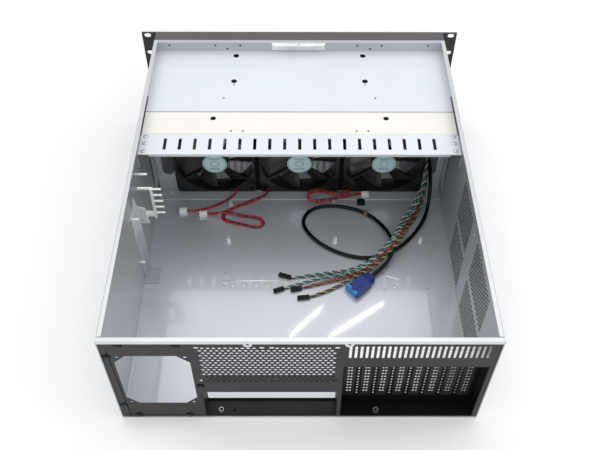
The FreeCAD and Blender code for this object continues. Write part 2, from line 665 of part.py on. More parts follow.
# ---------------------------------------------------------------- rear panel
GRILLE_COLUMNS = 24
GRILLE_ROWS = 15
GRILLE_SHARE = 0.68            # hole width as a share of the columns' pitch
GRILLE_STRETCH = 0.6           # the holes' upright stretch
GRILLE_MIN = -41.0
GRILLE_MAX = 113.0
GRILLE_BOTTOM = TOP - 91.0
GRILLE_TOP = TOP - 14.0
REAR_SCREW_HOLE = 2.1
REAR_FLANGE = 10.0
REAR_PANEL_TOP = TOP - SHEET
RAIL_DEPTH = 5.2
RAIL_HEIGHT = 6.0
RAIL_TABS = (-53.1, 56.7)
RAIL_TAB_WIDTH = 10.0
RAIL_TAB_BOTTOM = TOP - 12.0


def grille_holes(y0, y1):
    """Staggered hexagons, left out where a fan screw sits."""
    tools = []
    pitch_x = (GRILLE_MAX - GRILLE_MIN) / (GRILLE_COLUMNS + 0.5)
    pitch_z = (GRILLE_TOP - GRILLE_BOTTOM) / GRILLE_ROWS
    across = pitch_x * GRILLE_SHARE
    screws = rear_fan_screws()
    for row in range(GRILLE_ROWS):
        z = GRILLE_BOTTOM + pitch_z * (row + 0.5)
        for column in range(GRILLE_COLUMNS):
            x = GRILLE_MIN + pitch_x * (column + 0.5 + 0.5 * (row % 2))
            if min(math.hypot(x - u, z - v) for u, v in screws) < REAR_SCREW_HOLE + across:
                continue
            tools.append(prism_y(hexagon(x, z, across, -GRILLE_STRETCH), y0, y1))
    return tools


def rear_fan_screws():
    half = REAR_FAN_SCREWS / 2
    return [(x + sx * half, REAR_FAN_Z + sz * half)
            for x in REAR_FAN_CENTRES for sx in (-1, 1) for sz in (-1, 1)]


def psu_outline():
    c = PSU_CHAMFER
    return [(PSU_MIN + c, PSU_BOTTOM), (PSU_MAX - c, PSU_BOTTOM), (PSU_MAX, PSU_BOTTOM + c),
            (PSU_MAX, PSU_TOP - c), (PSU_MAX - c, PSU_TOP), (PSU_MIN + c, PSU_TOP),
            (PSU_MIN, PSU_TOP - c), (PSU_MIN, PSU_BOTTOM + c)]


def psu_screw_places():
    x = (PSU_MIN + PSU_MAX) / 2
    z = (PSU_BOTTOM + PSU_TOP) / 2
    return [(x + sx * PSU_SCREW_X / 2, z + sz * PSU_SCREW_Z / 2) for sx in (-1, 1) for sz in (-1, 1)]


def rear_panel():
    y1 = REAR - SHEET
    y0 = y1 - SHEET
    face = box(-INNER, INNER, y0, y1, FLOOR, REAR_PANEL_TOP)
    flange = box(INNER - SHEET, INNER, y0 - REAR_FLANGE, y1, FLOOR, REAR_PANEL_TOP - SHEET)
    shape = fuse([face, flange, mirror_x(flange)])
    tools = grille_holes(y0 - 1, y1 + 1)
    tools.append(prism_y(psu_outline(), y0 - 1, y1 + 1))
    for x, z in psu_screw_places() + rear_fan_screws():
        tools.append(rod_y(x, y0 - 1, y1 + 1, z, REAR_SCREW_HOLE))
    for index in range(VENT_SLOTS):
        x = VENT_SLOT_MARGIN - HALF + index * VENT_SLOT_PITCH
        tools.append(box(x - VENT_SLOT_WIDTH / 2, x + VENT_SLOT_WIDTH / 2, y0 - 1, y1 + 1,
                         VENT_SLOT_TOP - VENT_SLOT_HEIGHT, VENT_SLOT_TOP))
    tools.append(box(SLOT_POCKET_MIN, SLOT_POCKET_MAX, y0 - 1, y1 + 1, FLOOR - 1, SLOT_POCKET_TOP))
    tools.append(box(IO_POCKET_MIN, IO_POCKET_MAX, y0 - 1, y1 + 1, FLOOR - 1, IO_POCKET_TOP))
    return cut(shape, tools)


def rear_rail():
    """Bright cap over the rear panel's top edge, with two screw tabs."""
    y1 = REAR
    top = box(-INNER, INNER, y1 - RAIL_DEPTH, y1, TOP - SHEET, TOP)
    face = box(-INNER, INNER, y1 - SHEET, y1, TOP - RAIL_HEIGHT, TOP)
    tabs = []
    for x in RAIL_TABS:
        radius = RAIL_TAB_WIDTH / 2
        tabs.append(box(x - radius, x + radius, y1 - SHEET, y1, RAIL_TAB_BOTTOM + radius, TOP - RAIL_HEIGHT))
        tabs.append(rod_y(x, y1 - SHEET, y1, RAIL_TAB_BOTTOM + radius, radius))
    holes = [rod_y(x, y1 - SHEET - 1, y1 + 1, RAIL_TAB_BOTTOM + RAIL_TAB_WIDTH / 2, SCREW_HOLE_RADIUS)
             for x in RAIL_TABS]
    return cut(fuse([top, face] + tabs), holes)


def pocket(x0, x1, top):
    """Open-backed sheet box set into the rear panel."""
    outer = box(x0, x1, RECESS_FACE - SHEET, REAR - SHEET, FLOOR, top)
    inner = box(x0 + SHEET, x1 - SHEET, RECESS_FACE, REAR, FLOOR + SHEET, top - SHEET)
    return cut(outer, [inner])


def slot_centres():
    return [SLOT_CENTRE + (index - (SLOT_COUNT - 1) / 2) * SLOT_PITCH for index in range(SLOT_COUNT)]


RIB_HOLES = 10
RIB_HOLE_ACROSS = 2.6
RIB_HOLE_MARGIN = 8.0          # first and last hole, in from the slots' ends


def rib_holes(y0, y1):
    """A column of small hexagons in each rib between two slots."""
    tools = []
    first = SLOT_BOTTOM + RIB_HOLE_MARGIN
    pitch = (SLOT_TOP - RIB_HOLE_MARGIN - first) / (RIB_HOLES - 1)
    for x in slot_centres()[1:]:
        for index in range(RIB_HOLES):
            tools.append(prism_y(hexagon(x - SLOT_PITCH / 2, first + index * pitch, RIB_HOLE_ACROSS), y0, y1))
    return tools


def slot_pocket():
    """Rear wall behind the expansion slots, with perforated ribs."""
    shape = pocket(SLOT_POCKET_MIN, SLOT_POCKET_MAX, SLOT_POCKET_TOP)
    y0 = RECESS_FACE - SHEET - 1
    y1 = RECESS_FACE + 1
    half = SLOT_OPENING_WIDTH / 2
    tools = [box(x - half, x + half, y0, y1, SLOT_BOTTOM, SLOT_TOP) for x in slot_centres()]
    return cut(shape, tools + rib_holes(y0, y1))


def io_pocket():
    """Rear wall with the opening for the motherboard's port shield."""
    shape = pocket(IO_POCKET_MIN, IO_POCKET_MAX, IO_POCKET_TOP)
    middle = (IO_POCKET_MIN + IO_POCKET_MAX) / 2
    window = box(middle - IO_WIDTH / 2, middle + IO_WIDTH / 2, RECESS_FACE - SHEET - 1, RECESS_FACE + 1,
                 IO_BOTTOM, IO_BOTTOM + IO_HEIGHT)
    return cut(shape, [window])


COVER_WIDTH = 18.4
COVER_TAB = 11.0
COVER_HOLE_PITCH = 6.5
COVER_HOLE_ACROSS = 5.0
COVER_GROUP_GAP = 7.0
COVER_GROUPS = 3
COVER_GROUP_HOLES = 3
COVER_SHEET = 0.9
COVER_OVERLAP = 5.0            # the blade runs this far past the slot at the top
COVER_TAIL = 6.0               # and this far at the bottom
COVER_FIRST_HOLE = 12.0
COVER_SCREW_HOLE = 1.9
TAB_BOTTOM = SLOT_TOP + COVER_OVERLAP
TAB_TOP = TAB_BOTTOM + COVER_SHEET


def slot_cover(x):
    """Vented slot cover with its screw tab bent to the front."""
    y1 = RECESS_FACE - SHEET
    y0 = y1 - COVER_SHEET
    half = COVER_WIDTH / 2
    blade = box(x - half, x + half, y0, y1, SLOT_BOTTOM - COVER_TAIL, TAB_BOTTOM)
    tab = box(x - half, x + half, y0 - COVER_TAB, y1, TAB_BOTTOM, TAB_TOP)
    tools = []
    first = SLOT_BOTTOM + COVER_FIRST_HOLE
    for group in range(COVER_GROUPS):
        group_first = first + group * (COVER_GROUP_HOLES * COVER_HOLE_PITCH + COVER_GROUP_GAP)
        for index in range(COVER_GROUP_HOLES):
            z = group_first + index * COVER_HOLE_PITCH
            tools.append(prism_y(hexagon(x, z, COVER_HOLE_ACROSS), y0 - 1, y1 + 1))
    tools.append(rod_z(x, y0 - COVER_TAB / 2, TAB_BOTTOM - 1, TAB_TOP + 1, COVER_SCREW_HOLE))
    return cut(fuse([blade, tab]), tools)


def slot_ledge():
    """Angle inside the slot wall that the covers' tabs are screwed to."""
    y1 = RECESS_FACE - SHEET - COVER_SHEET
    y0 = y1 - COVER_TAB
    high = TAB_BOTTOM
    left = SLOT_POCKET_MIN
    right = SLOT_POCKET_MAX
    shelf = box(left, right, y0, y1 - FIT, high - SHEET, high)
    leg = box(left, right, y0 - SHEET, y0, high - SHEET, SLOT_POCKET_TOP)
    roof = box(left, right, y0 - SHEET, RECESS_FACE - SHEET, SLOT_POCKET_TOP - SHEET, SLOT_POCKET_TOP)
    return fuse([shelf, leg, roof])


def slot_screws():
    shapes = []
    y = RECESS_FACE - SHEET - COVER_SHEET - COVER_TAB / 2
    for x in slot_centres():
        shapes.append(dome_screw(x, y, TAB_TOP))
    return Part.makeCompound(shapes)


# ---------------------------------------------------------------- rear fasteners
REAR_SCREW_RADIUS = 3.4
REAR_SCREWS = ((197.2, TOP - 9.8), (134.8, TOP - 9.8), (213.5, TOP - 33.8), (213.1, 30.8),
               (116.1, 77.4), (197.9, 5.6), (135.7, 5.6))
RING_NUT_RADIUS = 4.2
RING_NUT_BORE = 2.0
RING_NUT_HEIGHT = 3.0
RING_NUTS = (97.4, -94.4)
RING_NUT_Y = 8.5               # from the rear edge


def rear_screws():
    shapes = []
    y0 = REAR - SHEET
    for x, z in REAR_SCREWS:
        shapes.append(rod_y(x, y0, REAR, z, REAR_SCREW_RADIUS))
    return Part.makeCompound(shapes)


def ring_nuts():
    shapes = []
    base = FLOOR + SHEET
    for x in RING_NUTS:
        ring = rod_z(x, REAR - RING_NUT_Y, base, base + RING_NUT_HEIGHT, RING_NUT_RADIUS)
        bore = rod_z(x, REAR - RING_NUT_Y, base - 1, base + RING_NUT_HEIGHT + 1, RING_NUT_BORE)
        shapes.append(cut(ring, [bore]))
    return Part.makeCompound(shapes)


# ---------------------------------------------------------------- floor
STANDOFF_HEIGHT = 6.5
STANDOFF_ACROSS = 5.5
STANDOFF_THREAD = 1.5          # the threaded hole's radius, and the floor left under it
STANDOFFS = ((104.6, 197.0), (-52.88, 197.0), (104.6, 268.0), (-52.88, 268.0), (-179.0, 268.0))


def standoffs():
    """Threaded hexagon pillars for the motherboard."""
    shapes = []
    for x, distance in STANDOFFS:
        y = from_front(distance)
        top = FLOOR + STANDOFF_HEIGHT
        pillar = prism_z(hexagon(x, y, STANDOFF_ACROSS), FLOOR, top)
        shapes.append(cut(pillar, [rod_z(x, y, FLOOR + STANDOFF_THREAD, top + 1, STANDOFF_THREAD)]))
    return Part.makeCompound(shapes)


# ---------------------------------------------------------------- power supply bracket
BRACKET_PLANE = 321.0
SUPPORT_INNER = HALF - 18.8
SUPPORT_STRUT = HALF - 9.0
SUPPORT_PAD_BOTTOM = TOP - 73.0
SUPPORT_PAD_TOP = TOP - 44.0
SUPPORT_TIP = TOP - 22.0
SUPPORT_STEP = 3.0
SUPPORT_FLANGE = 16.0
SUPPORT_FOOT_FRONT = 2.0
SUPPORT_FOOT_REAR = 26.0
SUPPORT_HOLES = ((-12.3, 20.5), (-11.2, 6.0))     # from the outer wall, and above the pad's bottom


def psu_support_bracket():
    """Sheet bracket on the +X wall that steadies the power supply."""
    y0 = from_front(BRACKET_PLANE)
    y1 = y0 + SHEET
    edge = INNER
    step = SUPPORT_STEP
    low = SUPPORT_PAD_BOTTOM
    sheet = prism_y([(SUPPORT_STRUT, FLOOR), (edge, FLOOR), (edge, SUPPORT_PAD_TOP),
                     (SUPPORT_STRUT + step, SUPPORT_TIP), (SUPPORT_STRUT, SUPPORT_PAD_TOP + step),
                     (SUPPORT_INNER, SUPPORT_PAD_TOP),
                     (SUPPORT_INNER, low + 2 * step), (SUPPORT_INNER - step, low + step),
                     (SUPPORT_INNER - step, low), (SUPPORT_STRUT, low)], y0, y1)
    flange = box(edge - SHEET, edge, y0, y0 + SUPPORT_FLANGE, FLOOR, SUPPORT_PAD_TOP - 2 * step)
    foot = box(SUPPORT_INNER - step, edge, y0 - SUPPORT_FOOT_FRONT, y0 + SUPPORT_FOOT_REAR,
               FLOOR, FLOOR + SHEET)
    shape = fuse([sheet, flange, foot])
    tools = [rod_y(HALF + x, y0 - 1, y1 + 1, low + z, SCREW_HOLE_RADIUS) for x, z in SUPPORT_HOLES]
    tools.append(rod_z(SUPPORT_INNER + step, y0 + SUPPORT_FLANGE, FLOOR - 1, FLOOR + 3, SCREW_HOLE_RADIUS))
    return cut(shape, tools)


COMB_SPINE = HALF - 28.0
COMB_HALF = 1.5                # half the spine's width, and the pegs' radius
COMB_BOTTOM = TOP - 75.0
COMB_TOP = TOP - 19.0
COMB_PEGS = 5
COMB_PEG_PITCH = 11.3
COMB_PEG_LENGTH = 13.0
COMB_DEPTH = 5.0
COMB_STAND = 14.0              # the spine stands this far in front of the bracket
COMB_BASE = 6.0


def cable_comb():
    """Plastic cable guide: a spine with five pegs, held on the bracket by its base."""
    y1 = from_front(BRACKET_PLANE)
    y0 = y1 - COMB_STAND
    left = COMB_SPINE - COMB_HALF
    right = SUPPORT_INNER + COMB_BASE
    low = SUPPORT_PAD_BOTTOM + 2.0
    spine = box(left, COMB_SPINE + COMB_HALF, y0, y0 + COMB_DEPTH, COMB_BOTTOM, COMB_TOP)
    base = box(left, right, y0, y0 + COMB_DEPTH, low, low + COMB_BASE)
    arm = box(SUPPORT_INNER, right, y0, y1, low, low + COMB_BASE)
    upper = box(left, SUPPORT_STRUT - COMB_HALF, y0, y0 + 2 * COMB_HALF, COMB_TOP - 2 * COMB_HALF, COMB_TOP)
    shapes = [spine, base, arm, upper]
    for index in range(COMB_PEGS):
        z = COMB_TOP - COMB_HALF - index * COMB_PEG_PITCH
        shapes.append(rod_x(COMB_SPINE - COMB_PEG_LENGTH, COMB_SPINE, y0 + COMB_DEPTH / 2, z, COMB_HALF))
    return fuse(shapes)


# ---------------------------------------------------------------- cords
# Routes are lists of corners (X, Y, Z).  The panel leads and the USB cable run from the port board
# through the cut-out in the fan wall, and the leads pass over the cable on the floor.
USB_DIAMETER = 5.5
LEAD_DIAMETER = 2.6
FAN_LEAD_DIAMETER = 3.2
BOARD_BACK = BOARD_Y0 + BOARD_SHEET

USB_ROUTE = (
    (-203.0, BOARD_BACK, 66.0), (-203.0, -236.0, 63.0), (-201.0, -206.0, 54.0), (-200.0, -176.0, 49.0),
    (-199.0, -146.0, 48.5), (-199.0, -116.0, 47.0), (-199.0, -92.0, 36.0), (-197.0, -72.0, 16.0),
    (-190.0, -48.0, 5.0), (-169.0, -14.0, 4.5), (-140.0, 16.0, 4.5), (-99.0, 31.0, 4.5), (-56.0, 20.0, 4.5),
    (-20.0, -6.0, 4.5), (-1.0, -42.0, 4.5), (-22.0, -71.0, 4.5), (-64.0, -73.0, 4.5), (-104.0, -58.0, 4.5),
    (-128.0, -28.0, 6.0), (-136.0, 6.0, 16.5), (-133.0, 31.0, 16.5), (-120.0, 48.0, 9.0), (-102.0, 63.0, 7.0))
LEAD_ROUTES = {
    "panel_lead_1": (
        (-197.0, BOARD_BACK, 136.0), (-197.0, -243.0, 134.0), (-196.5, -218.0, 118.0), (-195.5, -190.0, 95.0),
        (-194.5, -163.0, 76.0), (-194.0, -136.0, 64.0), (-193.5, -110.0, 57.5), (-189.0, -87.0, 48.0),
        (-178.0, -67.0, 33.0), (-166.0, -51.0, 18.0), (-152.0, -33.0, 14.0), (-144.0, -13.0, 19.0),
        (-138.5, 3.5, 25.0), (-127.5, 17.5, 26.0), (-114.0, 31.5, 22.0), (-97.5, 43.0, 12.0), (-75.0, 49.5, 4.5),
        (-50.0, 53.5, 3.5), (-20.0, 58.5, 3.5), (12.0, 63.0, 3.8)),
    "panel_lead_2": (
        (-197.0, BOARD_BACK, 122.0), (-197.0, -242.0, 119.0), (-196.0, -216.0, 103.0), (-195.0, -188.0, 82.0),
        (-194.5, -160.0, 66.0), (-194.0, -134.0, 57.5), (-193.5, -110.0, 53.5), (-190.0, -87.0, 43.0),
        (-180.0, -66.0, 27.0), (-168.5, -49.5, 12.0), (-154.0, -31.0, 8.5), (-146.5, -10.0, 18.0),
        (-141.0, 5.5, 25.0), (-130.0, 20.0, 26.0), (-116.0, 34.0, 22.0), (-99.5, 46.0, 12.0), (-77.0, 54.0, 4.5),
        (-53.0, 58.5, 3.5), (-28.0, 64.0, 3.5), (-2.0, 73.0, 3.5), (22.0, 81.5, 3.8)),
    "panel_lead_3": (
        (-197.0, BOARD_BACK, 108.0), (-197.0, -241.0, 104.0), (-196.0, -214.0, 88.0), (-195.0, -186.0, 69.0),
        (-194.5, -158.0, 56.5), (-194.0, -132.0, 51.0), (-193.5, -110.0, 49.5), (-190.5, -87.0, 38.0),
        (-182.0, -66.0, 20.0), (-171.0, -47.5, 7.0), (-157.0, -29.0, 6.0), (-149.0, -8.0, 18.0),
        (-143.5, 8.0, 25.0), (-132.5, 22.5, 26.0), (-118.5, 36.5, 22.0), (-101.5, 48.5, 12.0), (-79.5, 57.5, 4.5),
        (-55.0, 66.0, 3.5), (-29.0, 73.0, 3.5), (-3.0, 81.0, 3.8)),
    "panel_lead_4": (
        (-197.0, BOARD_BACK, 94.0), (-197.0, -240.0, 90.0), (-196.0, -212.0, 75.0), (-195.0, -184.0, 58.5),
        (-194.5, -156.0, 49.0), (-194.0, -131.0, 45.5), (-193.5, -110.0, 45.5), (-191.0, -87.0, 33.0),
        (-184.0, -66.0, 14.0), (-174.0, -46.5, 4.0), (-160.0, -27.0, 4.0), (-151.5, -6.0, 17.0),
        (-146.0, 10.0, 25.0), (-135.0, 25.0, 26.0), (-121.0, 39.0, 22.0), (-104.0, 51.0, 12.0), (-81.5, 61.0, 4.5),
        (-57.0, 76.0, 3.5), (-36.0, 88.0, 3.5), (-14.0, 96.0, 3.8)),
}
LEAD_PLUGS = {"panel_plug_1": ((12.0, 63.0), (29.0, 57.0)), "panel_plug_2": ((22.0, 81.5), (36.0, 86.5)),
              "panel_plug_3": ((-3.0, 81.0), (12.0, 84.5)), "panel_plug_4": ((-14.0, 96.0), (3.0, 98.0))}
FAN_LEAD_ROUTES = {
    "fan_lead_left": (
        (96.0, FAN_REAR, 10.0), (97.0, -96.5, 8.0), (105.0, -90.0, 5.2), (118.0, -80.0, 3.6), (134.0, -71.0, 3.2),
        (150.0, -65.0, 3.2), (162.0, -63.5, 3.4), (171.0, -63.5, 4.0)),
    "fan_lead_middle": (
        (48.0, FAN_REAR, 10.0), (49.5, -96.5, 8.0), (57.0, -91.0, 5.2), (69.0, -85.0, 3.8), (84.0, -77.5, 3.2),
        (100.0, -70.0, 3.2), (114.0, -61.0, 3.2), (117.0, -49.0, 3.2), (106.0, -41.0, 3.2), (88.0, -37.0, 3.2),
        (70.0, -31.5, 3.2), (56.5, -31.0, 3.2), (53.0, -42.0, 3.2), (64.0, -50.5, 3.2), (82.0, -52.0, 3.6),
        (98.0, -53.0, 9.4), (118.0, -54.5, 9.8), (130.0, -56.0, 5.0), (140.0, -57.0, 4.0)),
    "fan_lead_right": (
        (-79.0, FAN_REAR, 15.0), (-78.0, -96.0, 14.4), (-69.0, -91.5, 12.8), (-56.0, -92.5, 11.6), (-43.0, -96.0, 11.0),
        (-30.0, -98.5, 10.6), (-19.0, -97.5, 10.4), (-12.5, -90.5, 10.2), (-14.5, -81.5, 9.8), (-23.5, -77.5, 9.4),
        (-35.0, -79.0, 8.8), (-48.0, -83.0, 8.4), (-62.0, -87.5, 8.0), (-75.0, -91.5, 7.6), (-87.0, -94.8, 7.0),
        (-96.0, -96.0, 6.4)),
}
FAN_PLUGS = {"fan_plug_left": ((171.0, -63.5), (182.5, -62.5), FLOOR),
             "fan_plug_middle": ((140.0, -57.0), (151.5, -56.0), FLOOR),
             "fan_plug_right": ((-96.0, -96.0), (-107.5, -96.6), FLOOR + SHEET)}
USB_PLUG_AT = (-102.0, 63.0)
USB_PLUG_TOWARDS = (-73.0, 91.0)


ROUNDED_SHARE = 0.45           # how much of each run an arc may take


def cord_tube(route, diameter, name):
    """A tube along straight runs joined by tangent arcs, each as large as its runs allow."""
    points = [Vector(*place) for place in route]
    edges = []
    radii = []
    start = points[0]
    for before, corner, after in zip(points, points[1:], points[2:]):
        inward = (corner - before).normalize()
        onward = (after - corner).normalize()
        turn = inward.getAngle(onward)
        shorter = min((corner - before).Length, (after - corner).Length)
        reach = ROUNDED_SHARE * shorter
        radii.append(reach / math.tan(turn / 2))
        entry = corner - inward * reach
        leave = corner + onward * reach
        bisector = (onward - inward).normalize()
        sag = radii[-1] * (1 / math.cos(turn / 2) - 1)
        edges.append(Part.LineSegment(start, entry).toShape())
        edges.append(Part.Arc(entry, corner + bisector * sag, leave).toShape())
        start = leave
    edges.append(Part.LineSegment(start, points[-1]).toShape())
    path = Part.Wire(edges)
    circle = Part.Wire(Part.makeCircle(diameter / 2, points[0], points[1] - points[0]))
    tube = path.makePipeShell([circle], True, False)
    ratio = tube.Volume / (math.pi * diameter ** 2 / 4 * path.Length)
    print(name, "length %.1f" % path.Length, "volume ratio %.4f" % ratio,
          "smallest radius %.1f diameters" % (min(radii) / diameter))
    return tube


def keep_cord(name, route, diameter, ends):
    """Keep a cord's tube, trimmed flush where it meets the pieces at its ends."""
    tube = cord_tube(route, diameter, name)
    keep(name, cut(tube, [PARTS[end] for end in ends]))


def lying_box(start, towards, width, low, high, length=None, offset=0.0):
    """A block on the floor that starts at one point and lies towards another."""
    along = Vector(towards[0] - start[0], towards[1] - start[1], 0)
    span = along.Length if length is None else length
    block = Part.makeBox(span, width, high - low, Vector(offset, -width / 2, low))
    block.rotate(Vector(0, 0, 0), Vector(0, 0, 1), math.degrees(math.atan2(along.y, along.x)))
    block.translate(Vector(start[0], start[1], 0))
    return block


PLUG_LIFT = 0.1                # plugs lie this far above what is under them
PANEL_PLUG_WIDTH = 5.1
PANEL_PLUG_HEIGHT = 4.9
PANEL_PLUG_WALL = 0.7
PANEL_PLUG_WELL = 8.0
FAN_PLUG_WIDTH = 7.8
FAN_PLUG_HEIGHT = 5.6
FAN_PLUG_WALL = 1.2
FAN_PLUG_WELL = 7.0
FAN_PLUG_RIB = 3.6


def panel_plug(start, towards):
    """Two-way header socket with its pin wells open at the far end."""
    low = FLOOR + PLUG_LIFT
    high = low + PANEL_PLUG_HEIGHT
    body = lying_box(start, towards, PANEL_PLUG_WIDTH, low, high)
    wall = PANEL_PLUG_WALL
    depth = math.dist(start, towards) - PANEL_PLUG_WELL
    well = lying_box(start, towards, PANEL_PLUG_WIDTH - 2 * wall, low + wall, high - wall, PANEL_PLUG_WELL + 1, depth)
    return cut(body, [well])


def fan_plug(start, towards, floor):
    """Three-way fan plug with its guide rib and open front."""
    low = floor + PLUG_LIFT
    high = low + FAN_PLUG_HEIGHT
    wall = FAN_PLUG_WALL
    length = math.dist(start, towards)
    depth = length - FAN_PLUG_WELL
    body = lying_box(start, towards, FAN_PLUG_WIDTH, low, high)
    well = lying_box(start, towards, FAN_PLUG_WIDTH - 2 * wall, low + wall, high - wall, FAN_PLUG_WELL + 1, depth)
    rib = lying_box(start, towards, FAN_PLUG_RIB, high, high + wall, length - 2 * wall)
    return fuse([cut(body, [well]), rib])


USB_GRIP_WIDTH = 14.0
USB_GRIP_LENGTH = 12.0
USB_RIBS = 3
USB_RIB_PITCH = 3.0
USB_RIB_WIDTH = 15.6
USB_BODY_WIDTH = 21.0
USB_BODY_LENGTH = 28.0
USB_BODY_HEIGHT = 11.0
USB_MOUTH_DEPTH = 8.0
USB_WALL = 1.2
USB_KEY_WIDTH = 6.0
USB_KEY_LENGTH = 16.0


def usb_block(width, low, high, length, offset):
    return lying_box(USB_PLUG_AT, USB_PLUG_TOWARDS, width, low, high, length, offset)


def usb_plug():
    """Wide internal plug: ribbed grip, keyed body and open mouth."""
    low = FLOOR + PLUG_LIFT
    high = low + USB_BODY_HEIGHT
    end = USB_GRIP_LENGTH + USB_BODY_LENGTH
    grip = usb_block(USB_GRIP_WIDTH, low + USB_WALL, high - USB_WALL, USB_GRIP_LENGTH, 0.0)
    body = usb_block(USB_BODY_WIDTH, low, high, USB_BODY_LENGTH, USB_GRIP_LENGTH)
    mouth = usb_block(USB_BODY_WIDTH - 2 * USB_WALL, low + USB_WALL, high - USB_WALL, USB_MOUTH_DEPTH + 1,
                      end - USB_MOUTH_DEPTH)
    key = usb_block(USB_KEY_WIDTH, high, high + USB_WALL, USB_KEY_LENGTH, end - USB_KEY_LENGTH)
    ribs = []
    for index in range(USB_RIBS):
        ribs.append(usb_block(USB_RIB_WIDTH, low, high, USB_WALL, (index + 0.8) * USB_RIB_PITCH))
    return fuse([cut(body, [mouth]), grip, key] + ribs)


CLIP_X = -94.9
CLIP_SIZE = 12.0
CLIP_PAD = 1.6
CLIP_BRIDGE = 3.4


def cable_clip():
    """Stick-on tie mount on the floor, behind the fan wall's foot."""
    y0 = from_front(WALL_FOOT_END) + FIT
    base = FLOOR
    half = CLIP_SIZE / 2
    middle = y0 + half
    top = base + CLIP_PAD + CLIP_BRIDGE
    pad = box(CLIP_X - half, CLIP_X + half, y0, y0 + CLIP_SIZE, base, base + CLIP_PAD)
    bridge = box(CLIP_X - half + 2.0, CLIP_X + half - 2.0, middle - 4.0, middle + 4.0, base + CLIP_PAD, top)
    tunnel = box(CLIP_X - half, CLIP_X + half, middle - 2.0, middle + 2.0, base + CLIP_PAD, top - 1.4)
    return fuse([pad, cut(bridge, [tunnel])])


# ---------------------------------------------------------------- all pieces
def build():
    keep("chassis_tub", chassis_tub())
    keep("front_panel", front_panel())
    keep("front_bulkhead", front_bulkhead())
    keep("front_bracket", front_bracket())
    keep("front_board", front_board())
    keep("usb_sockets", Part.makeCompound([usb_socket(0), usb_socket(1)]))
    keep("power_button", push_button(POWER_Z, POWER_RADIUS))
    keep("reset_button", push_button(RESET_Z, RESET_RADIUS))
    keep("switches", Part.makeCompound([switch_body(POWER_Z, POWER_RADIUS), switch_body(RESET_Z, RESET_RADIUS)]))
    keep("light_lenses", Part.makeCompound([light_lens(0), light_lens(1)]))
    keep("drive_bay_cover", drive_bay_cover())
    keep("fan_wall", fan_wall())
    keep("fan_mount_plate", fan_mount_plate())
    keep("fan_screws", fan_screws())
    for name, x in zip(("right", "middle", "left"), fan_centres()):
        keep("fan_frame_" + name, fan_frame(x))
        keep("fan_rotor_" + name, fan_rotor(x))
    keep("fan_labels", Part.makeCompound([fan_label(x) for x in fan_centres()]))
    keep("crossbar", crossbar())
    rest = crossbar_rest()
    keep("crossbar_rests", Part.makeCompound([rest, mirror_x(rest)]))
    keep("crossbar_screws", crossbar_screws())
    keep("rear_panel", rear_panel())
    keep("rear_rail", rear_rail())
    keep("slot_pocket", slot_pocket())
    keep("io_pocket", io_pocket())
    for index, x in enumerate(slot_centres()):
        keep("slot_cover_%d" % (index + 1), slot_cover(x))
    keep("slot_ledge", slot_ledge())
    keep("slot_screws", slot_screws())
    keep("rear_screws", rear_screws())
    keep("ring_nuts", ring_nuts())
    keep("standoffs", standoffs())
    keep("psu_support_bracket", psu_support_bracket())
    keep("cable_comb", cable_comb())
    keep("cable_clip", cable_clip())
    keep("usb_plug", usb_plug())
    keep_cord("usb_cable", USB_ROUTE, USB_DIAMETER, ("front_board", "usb_plug"))
    for number in range(1, 5):
        plug = "panel_plug_%d" % number
        lead = "panel_lead_%d" % number
        keep(plug, panel_plug(*LEAD_PLUGS[plug]))
        keep_cord(lead, LEAD_ROUTES[lead], LEAD_DIAMETER, ("front_board", plug))
    for side in ("left", "middle", "right"):
        plug = "fan_plug_" + side
        lead = "fan_lead_" + side
        keep(plug, fan_plug(*FAN_PLUGS[plug]))
        keep_cord(lead, FAN_LEAD_ROUTES[lead], FAN_LEAD_DIAMETER, ("fan_frame_" + side, plug))


build()
os.makedirs("parts", exist_ok=True)
for part_name, shape in PARTS.items():
    if not shape.isValid():
        print("INVALID", part_name)
    shape.exportStep("parts/" + part_name + ".step")
print(len(PARTS), "pieces")
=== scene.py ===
import math
import random

import bmesh
import bpy
from mathutils import Matrix, Vector, geometry


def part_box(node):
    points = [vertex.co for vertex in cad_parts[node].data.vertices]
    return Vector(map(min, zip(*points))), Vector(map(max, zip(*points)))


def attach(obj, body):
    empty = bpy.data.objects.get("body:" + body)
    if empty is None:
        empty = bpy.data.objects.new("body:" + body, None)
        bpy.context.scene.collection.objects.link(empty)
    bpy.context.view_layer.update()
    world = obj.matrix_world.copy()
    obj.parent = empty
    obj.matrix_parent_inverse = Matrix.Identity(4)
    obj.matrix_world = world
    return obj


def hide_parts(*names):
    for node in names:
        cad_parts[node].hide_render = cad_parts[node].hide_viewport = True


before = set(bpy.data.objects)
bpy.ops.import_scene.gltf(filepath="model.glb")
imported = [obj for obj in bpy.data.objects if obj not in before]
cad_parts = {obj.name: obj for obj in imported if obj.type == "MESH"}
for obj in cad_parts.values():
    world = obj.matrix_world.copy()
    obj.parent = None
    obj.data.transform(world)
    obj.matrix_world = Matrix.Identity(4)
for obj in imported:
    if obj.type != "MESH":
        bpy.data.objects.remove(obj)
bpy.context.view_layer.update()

# Lists of places, and sizes written without MM beside them, are in millimetres.
MM = 0.001
CASE = "case"
UP = (0, 0, 1)
SINK = 0.1 * MM  # how far a thin mark reaches into the face that carries it
FILM = 0.03 * MM  # how far it stands out from that face
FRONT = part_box("front_panel")[0].y


def new_object(name, data):
    made = bpy.data.objects.new(name, data)
    bpy.context.scene.collection.objects.link(made)
    return made


def in_mm(points):
    return [(u * MM, v * MM) for u, v in points]


def route_in_mm(*points):
    return tuple(tuple(value * MM for value in point) for point in points)


def spot(x, away, z):
    """A place x mm across and away mm behind the front, z m up."""
    return Vector((x * MM, FRONT + away * MM, z))


